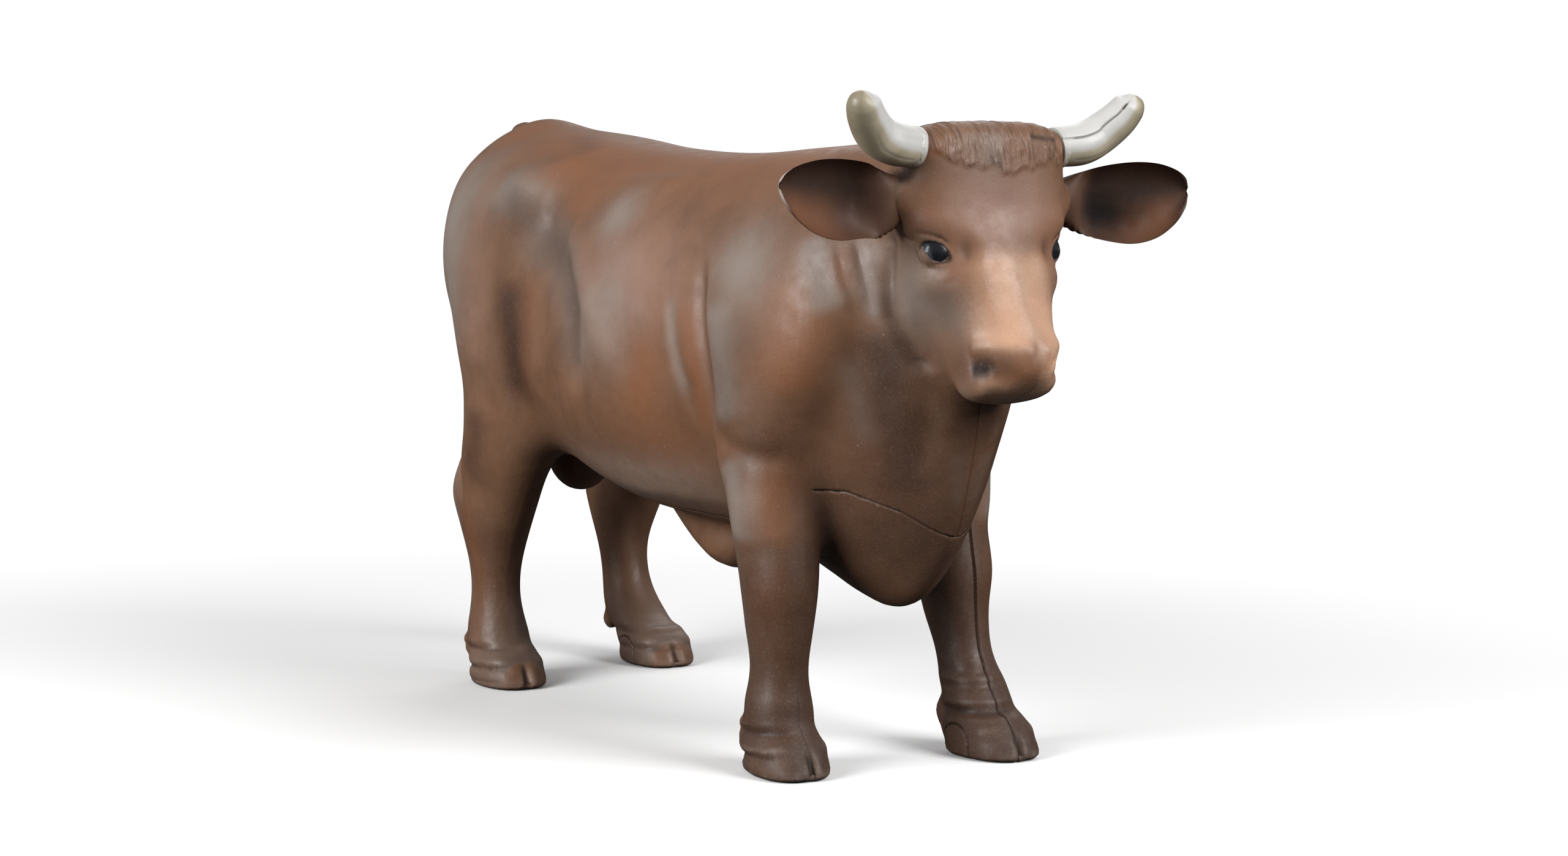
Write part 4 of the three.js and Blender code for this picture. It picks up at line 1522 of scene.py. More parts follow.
@dataclass(frozen=True)
class Eye:
    """One glossy eyeball.

    Attributes:
        side: The side it looks to.
        at: Its middle, on the left.
        look: The way that it looks, on the left.
        half: Half of its size inwards, up and out.
        around: Points round a ring.
        rings: Rings from pole to pole.
    """

    side: Side
    at: Point = (62.2, 10.1, 80.4)
    look: Point = (0.845, 0.528, 0.087)
    half: Point = (2.4, 2.1, 1.5)
    around: int = 96
    rings: int = 64

    def ways(self) -> Array:
        """Finds how the eye is turned.

        Returns:
            The ways inwards to the nose, up and out of the eye, one a row, on the left.
        """
        out = np.asarray(self.look) / np.linalg.norm(self.look)
        inwards = np.cross(out, (0.0, 0.0, 1.0))
        inwards /= np.linalg.norm(inwards)
        return np.stack([inwards, np.cross(inwards, out), out])

    def build(self, space: Space, material: Material) -> Thing:
        """Builds the eyeball and dresses it.

        Args:
            space: The bull's space.
            material: Its finish.

        Returns:
            The eyeball.
        """
        tilt = np.linspace(0.02, math.pi - 0.02, self.rings)[:, None]
        turn = turns_round(self.around)
        poleward = np.broadcast_to(np.cos(tilt), (self.rings, self.around))
        way = np.stack([np.sin(tilt) * np.cos(turn), np.sin(tilt) * np.sin(turn), poleward], axis=-1)
        ball = (way * self.half) @ self.ways() + np.asarray(self.at)
        points, faces = tube(ball * (1.0, self.side.value, 1.0))
        outer = -way[..., 0] - 0.3 * way[..., 1]
        # Painted highlight: a blue-grey crescent of reflection on the outer, lower side.
        masks = {"gleam": ease(0.3, 0.5, outer) * ease(0.95, 0.75, outer)}
        node = f"eye_{self.side.name.lower()}"
        return piece(f"{node}_painted", space, points, faces, material, [node], capped(masks))


@dataclass(frozen=True)
class Tail:
    """The tail, which hangs down the back of the thighs and ends in a tuft of strands.

    Attributes:
        path: Its path in the side view, as places along and heights.
        girth: Rows of share of the length, and radius.
        strands: Strands in the tuft.
        around: Points round a ring.
        rings: Rings along it.
    """

    path: tuple[tuple[float, float], ...] = (
        (-83.0, 97.5), (-87.5, 98.0), (-90.5, 93.0), (-90.5, 80.0), (-89.5, 64.0), (-89.0, 50.0),
        (-89.0, 36.0), (-88.5, 28.0),
    )
    girth: tuple[tuple[float, float], ...] = (
        (0.0, 2.31), (0.06, 2.4), (0.16, 2.3), (0.3, 2.0), (0.45, 1.68), (0.6, 1.43), (0.68, 1.76),
        (0.76, 2.69), (0.84, 3.3), (0.92, 2.8), (0.98, 1.5), (1.0, 0.3),
    )
    strands: int = 11
    around: int = 132
    rings: int = 200

    def build(self, space: Space, material: Material) -> Thing:
        """Builds the tail and dresses it.

        Args:
            space: The bull's space.
            material: Its finish.

        Returns:
            The tail.
        """
        share = np.linspace(0.0, 1.0, self.rings)
        path = curve_through([(x, 0.0, z) for x, z in self.path], share)
        girth = np.interp(share, *np.array(self.girth).T)
        across, above = frames_along(path, np.array([0.0, 1.0, 0.0]))
        turn = turns_round(self.around)
        tuft = ease(0.62, 0.76, share)[:, None]
        twist = 1.6 * np.sin(4.0 * share)[:, None]
        locks = np.abs(np.sin(self.strands * 0.5 * (turn + twist)))
        hairs = np.abs(np.sin(self.strands * 1.5 * (turn + 1.2 * twist) + 0.6))
        seam = bell((turn + math.pi / 2) % (2 * math.pi) - math.pi, 0.07) * (1.0 - tuft)
        bones = 0.025 * np.sin(share * 150.0)[:, None] * (1.0 - tuft) * ease(0.08, 0.16, share)[:, None]
        parted = 0.15 * (1.0 - locks) + 0.06 * (1.0 - hairs)
        grown = girth[:, None] * (1.0 + bones - tuft * parted) - 0.1 * seam
        points, faces = tube(path[:, None] + spokes(across, above, turn) * grown[..., None])
        # Painted shade between the locks of the tuft, and painted light in taupe on their crests.
        hollow = tuft * (1.0 - locks) * 0.8
        masks = {
            Coat.UMBER.value: np.broadcast_to(np.clip(0.35 + 0.5 * tuft, 0.0, 1.0), hollow.shape),
            Coat.RUST.value: np.broadcast_to(0.35 * (1.0 - tuft), hollow.shape),
            Coat.TAUPE.value: tuft * locks * 0.3,
            "curve": hollow * 0.7,
            "seam": seam * 0.5,
            "hair": np.zeros_like(hollow),
        }
        return piece("tail_painted", space, points, faces, material, ["tail"], capped(masks))


@dataclass(frozen=True)
class Band:
    """A fold of skin round a leg, or a crease where its lift is negative.

    Attributes:
        name: What the fold is on the animal.
        at: The leg's middle at the fold.
        width: How far it spreads up and down.
        lift: Its height.
        tilt: How much it rises for each millimetre ahead.
        side: The leg's side.
        turn: Degrees from straight ahead to the middle of the fold, outwards.
        share: How much of the way round it goes, where 1 is all of it.
    """

    name: str
    at: Point
    width: float
    lift: float
    tilt: float
    side: Side
    turn: float = 45.0
    share: float = 0.6

    def lift_at(self, points: Array) -> Array:
        """Finds the height that it adds.

        Args:
            points: The points, one a row.

        Returns:
            The height at each point.
        """
        away = points * (1.0, self.side.value, 1.0) - np.asarray(self.at)
        round_leg = np.degrees(np.arctan2(away[:, 1], away[:, 0])) - self.turn
        round_leg = np.abs((round_leg + 180.0) % 360.0 - 180.0)
        span = 180.0 * self.share
        there = ease(span, span * 0.55, round_leg) if self.share < 1.0 else np.ones(len(points))
        there *= ease(14.0, 12.0, np.hypot(away[:, 0], away[:, 1]))
        return self.lift * there * bell(away[:, 2] - self.tilt * away[:, 0], self.width)


@dataclass(frozen=True)
class Forelock:
    """The thick tuft of hair that lies over the poll and hangs on the forehead.

    Attributes:
        half_span: How far it reaches to either side.
        edge: Rows of distance to the left and height of its lower edge.
        lift: How thick it is.
        strands: How many furrows part it.
    """

    half_span: float = 11.6
    edge: tuple[tuple[float, float], ...] = (
        (-12.0, 95.6), (-10.2, 93.9), (-7.4, 93.0), (-4.6, 92.4), (-1.8, 92.6), (0.4, 91.3), (2.2, 91.9),
        (4.2, 92.2), (6.6, 92.6), (9.0, 93.4), (10.6, 92.8), (12.0, 95.0),
    )
    lift: float = 0.22
    strands: int = 20

    def cover(self, points: Array) -> Array:
        """Finds where the hair lies.

        Args:
            points: The points, one a row.

        Returns:
            How much each point is under it, from 0 to 1.
        """
        x, y, z = points.T
        over = z - np.interp(y, *np.array(self.edge).T) - 0.3 * np.sin(y * 2.3 + 0.9 * np.sin(y * 0.9))
        side = ease(self.half_span + 1.4, self.half_span - 0.4, np.abs(y))
        return ease(-0.3, 0.5, over) * side * ease(47.0, 52.0, x)

    def lift_at(self, points: Array) -> Array:
        """Finds the height that it adds.

        Args:
            points: The points, one a row.

        Returns:
            The height at each point.
        """
        _, y, z = points.T
        scallop = 0.3 * np.sin(y * 2.3 + 0.9 * np.sin(y * 0.9)) + 0.15 * np.sin(y * 6.1)
        over = z - np.interp(y, *np.array(self.edge).T) - scallop
        inside = self.cover(points)
        sway = 0.8 * np.sin(z * 0.55 + y * 0.5)
        fan = y * (1.0 + 0.05 * (z - 95.0)) + sway + 0.3 * np.sin(z * 1.5 + y * 1.7)
        parting = fan * self.strands / self.half_span
        wave = np.sin(parting * 1.6) + 0.6 * np.sin(parting * 2.9 + 1.3)
        fringe = 1.0 + 0.25 * ease(2.4, 0.2, over)
        deep = 0.6 + 0.5 * np.sin(y * 0.8 + 0.4 * z)
        return inside * (self.lift * fringe * 0.8 + 0.1 * wave * deep)


Form = Swell | Stroke | Band | Forelock


@dataclass(frozen=True)
class Foot:
    """The folds, dewclaw and claws of one foot.

    Attributes:
        side: The leg's side.
        along: Place of the hoof's middle along the bull.
        track: Its distance from the bull's middle.
        creases: Height, width and depth of each crease, degrees outwards to it and share of the way round.
        dewclaw: Place of the outer dewclaw from the hoof's middle: behind, outwards and up.
        dewclaw_lift: How far the dewclaw stands out.
    """

    side: Side
    along: float
    track: float
    creases: tuple[tuple[float, float, float, float, float], ...]
    dewclaw: Point = (-7.2, 1.5, 7.0)
    dewclaw_lift: float = 0.9

    def forms(self) -> list[Form]:
        """Lists what is modelled on this foot.

        Returns:
            The forms.
        """
        x, y, side = self.along, self.track, self.side
        behind, out, up = self.dewclaw
        back, lift = x + behind, self.dewclaw_lift
        made: list[Form] = [
            Swell("outer dewclaw", (back, y + out, up), (3.0, 2.6, 2.5), lift, 0.0, side),
            Swell("inner dewclaw", (back, y - out - 1.5, up), (3.0, 2.4, 2.5), lift, 0.0, side),
            Swell("hollow under the dewclaws", (back - 0.4, y, up - 3.2), (2.6, 6.0, 1.1), -0.7, 0.0, side),
            Stroke("outer ridge", ((x + 3.2, y + 2.2, 5.2), (x + 7.4, y + 2.0, 2.2)), 0.7, 0.3, 0.3, side),
            Stroke("inner ridge", ((x + 3.0, y - 2.0, 5.4), (x + 7.2, y - 1.9, 2.2)), 0.7, 0.3, 0.3, side),
            Swell("outer knuckle", (x + 4.6, y + 4.2, 4.6), (1.8, 1.8, 1.1), 0.35, 0.0, side),
            Swell("inner knuckle", (x + 4.4, y - 4.2, 4.6), (1.8, 1.8, 1.1), 0.35, 0.0, side),
            Stroke("cleft", ((x + 6.0, y, 5.0), (x + 8.0, y, 1.8), (x + 9.4, y, -2.0)), 0.6, -1.0, 0.4, side),
        ]
        for height, width, depth, turn, share in self.creases:
            at, over = (x - 1.0, y, height), (x - 1.0, y, height + 1.2)
            made.append(Band("crease", at, width, -depth, 0.04, side, turn, share))
            made.append(Band("roll over it", over, 0.8, depth * 0.45, 0.04, side, turn, share + 0.1))
        return made


FEET = (
    Foot(Side.RIGHT, 33.5, 17.8, ((6.7, 0.6, 0.3, 95, 0.55), (3.2, 0.42, 0.5, 110, 0.42),
         (2.4, 0.3, 0.22, 110, 0.35)), (-7.2, 1.8, 5.9), 1),
    Foot(Side.LEFT, 33.5, 17.8, ((7.2, 0.8, 0.5, -50, 0.6), (10.8, 0.7, 0.24, -50, 0.5),
         (13, 0.6, 0.16, -50, 0.4)), (-7.4, 1.2, 5), 1.1),
    Foot(Side.RIGHT, -61.5, 17.2, ((6.8, 0.6, 0.3, 90, 0.6), (3.5, 0.35, 0.4, 100, 0.5),
         (1.1, 0.3, 0.18, 100, 0.45)), (-7.4, 1.5, 6.4), 1.1),
    Foot(Side.LEFT, -61.5, 17.2, ((6.2, 0.6, 0.3, -50, 0.6), (3.4, 0.5, 0.22, -50, 0.55)), (-7.4, 1.5, 6), 1),
)

TRUNK_FORMS: tuple[Form, ...] = (
    Swell("hip bone", (-48.5, 20, 89.4), (6.4, 5, 3.2), 1.6),
    Swell("rump over the tail", (-72, 0, 100), (9, 8, 5), 0.8),
    Swell("pin bone", (-81, 8.5, 93), (5, 4, 5), 0.7),
    Swell("hollow beside the tail", (-74, 12, 97), (8, 3.5, 4), -0.6),
    Stroke("loin shelf", ((-44, 18.5, 90.6), (-30, 17.2, 89.6), (-12, 15.7, 90), (6, 14, 91.5)), 2.4, 0.6),
    Stroke("hollow ahead of the hip", ((-42, 20.5, 85.5), (-35, 20.5, 84), (-27, 21.5, 81)), 3.4, -1.2, 0.3),
    Swell("flank hollow", (-40, 22, 82), (6.5, 5, 4.5), -1.2, -25),
    Stroke("groove ahead of the thigh", ((-42, 22.5, 82.5), (-34, 22.8, 79.5), (-24.5, 24.9, 75.5),
           (-18, 27, 68.5), (-16.5, 27.4, 60), (-17.5, 26.5, 51)), 3.4, -1.5, 0.2),
    Swell("thigh muscle", (-44, 24, 68), (9, 6, 14), 1.2, 12),
    Swell("notch at the back of the thigh", (-60, 26, 55), (5, 5, 5), -0.8),
    Swell("buttock", (-66, 22, 74), (9, 7, 14), 0.6),
    Stroke("furrow down the thigh", ((-56, 23.5, 82), (-58, 25, 70), (-57, 25.5, 58)), 3, -0.5),
    Swell("stifle", (-34, 23.5, 57), (6, 5, 6), 0.9),
    Stroke("edge of the ribs", ((-29, 22.6, 82), (-16, 26, 74), (-7, 27.6, 64), (-5, 27, 55)), 2.8, 0.75),
    Stroke("rib crease", ((9.5, 25.3, 75), (11.3, 25.4, 69.5), (14.2, 24.9, 59.7), (15.8, 22.9, 52)), 1.2,
           -0.5),
    Stroke("rib ahead of the crease", ((13.6, 25.2, 74), (15.4, 25.4, 67), (17.4, 24.6, 58)), 1.8, 0.25),
    Stroke("far rib crease", ((-3, 26.5, 76), (-1, 27.4, 66), (2, 27, 57)), 2.6, -0.28),
    Stroke("hollow behind the shoulder", ((16.4, 22.5, 81), (19.4, 24.4, 73), (21.4, 25.2, 65),
           (22.6, 25, 58), (23.6, 24.4, 51)), 1.8, -1.3),
    Swell("shoulder", (30, 24.5, 68), (8, 6, 14), 1.2, -12),
    Swell("upper arm", (27, 24, 55), (7, 5, 6), 0.6),
    Stroke("furrow over the elbow", ((24.6, 24.7, 53.6), (29, 25.2, 50.6), (35, 24, 49.2), (41, 20, 48)), 1.7,
           -0.5),
    Swell("point of the elbow", (24.5, 22.8, 47), (3.4, 3.5, 4), 0.6),
    Swell("point of the shoulder", (45, 20.5, 62), (6, 5, 7), 0.8),
    Stroke("neck edge", ((43.5, 19.6, 84), (45.5, 19.4, 78), (48.5, 17.8, 71), (48.8, 15.6, 64),
           (50.4, 12.4, 57)), 2.2, -0.35),
    Stroke("neck fold", ((45.2, 18.6, 84), (47.4, 18.4, 77), (50, 16.6, 70)), 0.9, 0.11),
    Stroke("second neck fold", ((47.5, 16.5, 84), (49.6, 16, 77), (51.2, 14.8, 71)), 0.8, 0.11),
    Stroke("third neck fold", ((49.6, 14.8, 84), (51.6, 14, 77), (52.8, 12.8, 71)), 0.8, 0.09),
    Stroke("crease between the neck folds", ((46.4, 17.6, 83), (48.6, 17.2, 76), (50.6, 15.8, 70)), 0.6,
           -0.12),
    Stroke("second crease between the neck folds", ((48.6, 15.6, 83), (50.8, 15, 76), (52.2, 13.8, 70)), 0.6,
           -0.12),
    Swell("dewlap", (57, 3, 52), (4, 3.5, 8), 0.5),
    Stroke("hollow beside the dewlap", ((55.5, 7.5, 62), (56, 7, 54), (54.5, 7.5, 46)), 2.2, -0.5),
    Stroke("raised strip at the throat", ((58.4, 4.2, 55), (57.6, 3.2, 50.6), (57, 2.2, 46), (56, 1.6, 41.4),
           (54.6, 1.4, 37)), 1.1, 0.6, 0.15, Side.LEFT),
)

LEG_FORMS: tuple[Form, ...] = (
    Swell("forearm", (32, 23.5, 40), (4.5, 4, 6), 0.5),
    Swell("knee", (35, 20, 28.5), (4.5, 5, 4.2), 0.8),
    Swell("hollow over the knee", (33.5, 22, 35.5), (4.5, 4, 2.6), -0.35),
    Stroke("tendon furrow", ((29.5, 22, 24), (29.5, 22, 14.5)), 0.9, -0.35),
    Swell("fetlock", (32, 19.5, 11), (6, 6, 2.4), 0.3),
    Swell("hock point", (-73, 18.5, 35.5), (3.5, 3.6, 4), 0.6),
    Stroke("heel string hollow", ((-69.5, 23, 45), (-69, 22.6, 38), (-67, 22.2, 32)), 1.3, -0.9, 0.3),
    Swell("hock joint", (-63.5, 21.5, 30), (4, 3, 4.5), 0.6),
    Swell("gaskin", (-54, 23.6, 46), (7, 4.5, 6.5), 0.5),
    Stroke("hind tendon furrow", ((-67, 21.4, 25), (-66, 21, 14)), 0.9, -0.3),
)

HEAD_FORMS: tuple[Form, ...] = (
    Swell("brow", (63.4, 11.8, 84.6), (3.2, 3, 2.2), 0.45),
    Swell("inner corner of the eye", (66.2, 7.4, 80.6), (2.2, 1.8, 2.2), -0.7),
    Swell("cheekbone", (63.2, 10.6, 75.4), (4, 2.4, 2.2), 0.55),
    Swell("hollow of the temple", (57.5, 14, 84.5), (3, 3, 3.4), -0.6),
    Swell("cheek", (57.8, 11.8, 73), (4.5, 3, 6.5), 1.3),
    Stroke("edge of the cheek", ((54.2, 14.4, 85), (55.2, 13.4, 81), (54.6, 12.8, 76), (54.4, 12.2, 70.8),
           (55.4, 10.8, 67.2), (56.3, 9.4, 64.6), (58.1, 6.6, 62.4)), 1.5, -0.9, 0.15),
    Swell("hollow of the cheek", (63.6, 9, 69.6), (3.2, 3, 3.6), -0.55),
    Stroke("bridge of the nose", ((65.6, 0, 87), (68, 0, 79), (71.6, 0, 71), (73.6, 0, 67)), 3.4, 0.35),
    Stroke("side of the nose", ((66.4, 5.4, 81), (68.6, 5.8, 75), (70.4, 5.4, 69.6)), 1.5, 0.35),
    Swell("forehead dish", (65.4, 0, 86), (3, 6, 3.6), -0.3),
    Stroke("upper edge of the nose pad", ((66.6, 8, 66.6), (69.6, 6.8, 67), (72.6, 4.2, 67),
           (74.6, 0.6, 66.6)), 1.3, 0.5, 0.12),
    Swell("side of the chin", (65.6, 7.4, 59.6), (3.4, 2.8, 2.8), 0.6),
    Swell("front of the nose pad", (72.4, 3.6, 62.4), (2.4, 3.4, 2.6), -0.3),
    Stroke("nostril", ((66.8, 7.5, 63.2), (68.6, 6.9, 63.8), (70.8, 5.8, 64.2)), 1.7, -0.5, 0.35),
    Stroke("lower rim of the nostril", ((67.6, 7.2, 61.2), (69.6, 6.4, 61.2), (71.4, 5, 61.8)), 1.3, 0.25,
           0.3),
    Stroke("slit of the far nostril", ((73.2, 3.6, 65.4), (74, 2.8, 64.4), (74, 2.8, 63.2)), 0.4, -0.7, 0.25,
           Side.LEFT),
    Stroke("rim of the far nostril", ((73, 4.6, 65.8), (73.6, 3.8, 64.2), (73, 4, 62.8)), 0.6, 0.4, 0.25,
           Side.LEFT),
    Stroke("upper lip", ((66.4, 7, 60), (69.6, 5.8, 59.4), (72.6, 3.2, 59.6), (73.6, 0, 59.8)), 0.9, 0.35),
    Stroke("mouth", ((63.5, 6.8, 58.6), (67, 6, 57.9), (70, 4, 57.8), (71.6, 0, 58.2)), 0.5, -0.7, 0.12),
    Swell("chin", (68, 0, 56.6), (4, 4, 1.8), 0.5),
    Stroke("groove down the nose pad", ((74.8, 0, 64.6), (75, 0, 62), (74, 0, 59.6)), 0.6, -0.22),
    Stroke("bag under the eye", ((62.6, 11.6, 77.2), (64.2, 10.6, 76.7), (65.8, 8.8, 77.6)), 0.55, 0.14,
           0.35),
    Stroke("crease under the eye", ((62.4, 11.4, 76.2), (64.2, 10.4, 75.6), (66, 8.6, 76.4)), 0.5, -0.13,
           0.35),
    Stroke("corner line of the eye", ((60.6, 13.2, 81.6), (59.2, 13.8, 82.4), (58.2, 14.2, 82.6)), 0.4, -0.4),
    Swell("neck of the ear", (57, 15.2, 88), (3.6, 2, 3.6), 0.6),
    Swell("dimple between the horn and the ear", (59.8, 14.6, 91.6), (1.5, 1.5, 1.2), -1),
    Forelock(),
)


BODY_SPRAYS: Sprays = {
    Coat.RUST: (
        Stroke("along the back", ((-82, 4, 98), (-60, 8, 99), (-30, 8, 96), (0, 8, 94), (34, 8, 97)), 9, 0.8,
               0.08),
        Stroke("over the loin shelf", ((-47, 15.5, 93), (-34, 16, 91.5), (-16, 14.5, 91)), 3.6, 0.85, 0.2),
        Swell("loin", (-29, 19.5, 86.5), (7, 4, 4.5), 0.65, -25),
        Stroke("down the thigh", ((-42.5, 23.6, 76), (-40.6, 24.1, 63), (-42, 22.4, 51)), 4.4, 0.85, 0.25),
        Stroke("rib", ((4.6, 26, 69), (4.5, 26, 61.5), (1, 25.5, 50)), 4.8, 0.9, 0.3),
        Stroke("second rib", ((16.6, 24.9, 73), (19, 24.6, 61), (18.6, 21.6, 50)), 2.5, 0.9, 0.2),
        Swell("lower ribs", (4, 24, 47), (14, 8, 7), 0.6),
        Stroke("front of the shoulder", ((40.5, 22.5, 79), (42, 22.5, 68), (40.5, 22, 57)), 5.2, 0.95, 0.25),
        Swell("forearm", (37.5, 22, 43), (4, 3.6, 7), 0.8),
        Swell("side of the brisket", (50, 10, 47), (5, 4, 7), 0.5),
        Stroke("between the neck streaks", ((47.4, 17.6, 82), (49, 17.4, 74)), 1.2, 0.7, 0.2),
        Swell("withers", (30, 6, 98), (14, 9, 5), 0.4),
        Swell("scrotum", (-40, 6, 40), (8, 8, 7), 0.5),
    ),
    # Painted shade over some umber paint: the hollow under the hip, the flank, the shaded side of the thigh,
    # behind the shoulder, the inner foreleg and the brisket beneath.
    Coat.UMBER: (
        Stroke("across the loin", ((-56, 4, 99), (-40, 12, 95)), 3, 0.3, 0.2),
        Swell("hollow under the hip", (-44, 22, 84), (8.5, 5, 4.8), 0.65, -20),
        Stroke("flank shade", ((-44, 22, 82.5), (-36, 22, 80), (-24.5, 24.9, 75.5), (-17.5, 27.4, 68),
               (-17.5, 27.6, 56)), 3.6, 0.65, 0.2),
        Stroke("down the thigh", ((-44.5, 23.6, 76), (-43, 24.1, 63), (-44, 22.4, 50)), 5.6, 0.95, 0.25),
        Swell("lower half of the shoulder", (28.5, 25, 59), (6, 5, 9), 0.4),
        Stroke("behind the shoulder", ((17, 22.5, 79), (20.8, 24.8, 71), (22.4, 25.2, 63), (24.4, 24.8, 54)),
               1.1, 0.5, 0.2),
        Swell("over the elbow", (37, 23, 51), (8, 5, 4.5), 0.45),
        Swell("inside of the foreleg", (34, 13, 36), (8, 4.5, 14), 0.75),
        Swell("brisket", (48, 4, 37), (13, 13, 12), 0.8),
        Stroke("front of the chest", ((53, 13, 70), (52, 12, 60), (52, 9, 50), (50, 6, 42)), 5.5, 0.85, 0.15),
    ),
    Coat.TAUPE: (
        Swell("buttock", (-72, 20, 82), (10, 9, 14), 0.95),
        Swell("back of the thigh", (-70, 23, 66), (7, 6, 14), 0.75),
        Swell("hip", (-50, 20, 87.5), (9, 5, 3.8), 0.95),
        # Painted shade: a cool grey laid with the umber flank shade over the hollow ahead of the thigh.
        Stroke("flank", ((-46, 22, 84), (-38, 22, 81), (-24.5, 24.9, 76), (-16, 27.5, 68.5),
               (-14.5, 27.7, 55)), 4.4, 0.75, 0.2),
        Swell("first ribs", (-13, 20.5, 84.5), (5.5, 5, 5), 0.85, -30),
        Swell("middle ribs", (-7, 26.5, 70), (6.5, 5, 9), 0.65),
        Stroke("between the ribs", ((10.6, 25.4, 74), (12.2, 25.2, 66), (15, 23.6, 56)), 1.7, 0.65, 0.2),
        Swell("along the belly", (-8, 20, 41.5), (24, 8, 5), 0.7),
        Swell("shoulder", (30, 24, 77.5), (8, 7, 7.5), 0.95),
        Stroke("back of the shoulder", ((25.5, 24.5, 73), (27.5, 25.5, 64), (29.5, 24.8, 53)), 4.2, 0.85,
               0.15),
        Stroke("elbow", ((28.4, 25.3, 49), (30.6, 25.2, 42), (30.6, 24.2, 35)), 3.6, 0.85, 0.15),
        Stroke("side of the chest", ((48, 17, 66), (48, 15, 59), (48, 12, 50)), 2.2, 0.4, 0.2),
        Stroke("strip at the throat", ((57.8, 3.2, 51), (57, 2.2, 46), (56, 1.6, 41)), 1.4, 0.5, 0.2),
        Stroke("neck", ((43.6, 19.8, 84), (45.4, 20, 77), (47.6, 18.2, 70.5)), 2.4, 0.85, 0.2),
        Stroke("second neck streak", ((50, 16, 84), (51.4, 15.2, 76), (52.4, 13.6, 69)), 1.5, 0.7, 0.2),
    ),
    Coat.ROSE: (
        Swell("back half of the thigh", (-56, 24, 68), (5, 5, 12), 0.4),
        Swell("upper ribs", (-1, 24, 75), (15, 7, 9), 0.75),
    ),
    Coat.TAN: (
        # Tan paint and painted light from below on the belly and the scrotum.
        Swell("along the belly", (-10, 20, 41.5), (20, 7, 3.6), 0.25),
        Swell("scrotum light", (-36, 6, 38), (4, 5, 5), 0.25),
    ),
}

LEG_SPRAYS: Sprays = {
    Coat.TAUPE: (
        Stroke("outer side of the foreleg", ((29.5, 23, 40), (29, 22.5, 28), (29.5, 22, 12)), 2.4, 0.4, 0.2),
        Stroke("back of the hind leg", ((-73, 20, 42), (-72.5, 20, 32), (-70.5, 19.5, 20), (-70, 19.5, 8)), 3,
               0.85, 0.12),
        Stroke("fore hoof", ((29, 18, 3), (40, 18, 2.5)), 7.5, 0.15, 0.02),
        Stroke("hind hoof", ((-67, 17.5, 3), (-55, 17.5, 2.5)), 7.5, 0.6, 0.05),
    ),
    Coat.RUST: (
        Stroke("front of the foreleg", ((35, 22, 34), (34, 21.5, 24), (33.5, 21.5, 12)), 2.2, 0.45, 0.3),
        Swell("knee", (36, 21.5, 27.5), (3.6, 3.6, 4.6), 0.75),
        Stroke("middle of the hind leg", ((-66, 22.6, 34), (-65, 21.6, 22), (-64, 21.6, 8), (-62, 22.6, 3)),
               2.2, 0.85, 0.15),
        Stroke("fold over the fore hoof", ((36, 21.5, 6.2), (38.5, 18, 6)), 1.8, 0.6, 0.2),
    ),
    # Umber paint and painted shade: the insides of the legs, the lower legs and the hooves are darkened.
    Coat.UMBER: (
        Stroke("inside of the foreleg", ((35, 14, 36), (33, 13.6, 22), (32, 13.4, 10)), 3.6, 0.75, 0.15),
        Stroke("lower foreleg", ((33, 18, 38), (32, 18, 20), (32.5, 18, 3)), 8.5, 0.95, 0.1),
        Stroke("lower hind leg", ((-62, 18, 34), (-66, 18, 20), (-64, 18, 4)), 7, 0.45, 0.2),
        Stroke("gaskin", ((-56, 24, 52), (-60, 23.6, 42), (-63, 22.6, 34)), 4, 0.55, 0.25),
        Stroke("inside of the hind leg", ((-58, 11.5, 44), (-64, 12, 30), (-65, 12.5, 14)), 4, 0.6, 0.15),
        Stroke("fore hoof shade", ((28, 18, 2), (42, 18, 2)), 9, 0.9, 0.02),
        Stroke("hind hoof shade", ((-67, 17.5, 1.5), (-55, 17.5, 1.5)), 7, 0.6, 0.05),
    ),
    Coat.TAN: (
        # Painted light: a tan streak of rim light down the inner front of the hind leg.
        Stroke("front of the hind leg", ((-52, 15, 44), (-58, 14.5, 34), (-60.5, 15.5, 22), (-59, 16, 9)),
               1.6, 0.28, 0.2),
    ),
    # Painted shade at the foot of the fore hooves.
    Coat.SOOT: (
        Stroke("fore hoof shade", ((28, 18, 1), (42, 18, 1)), 8, 0.3, 0.02),
    ),
}

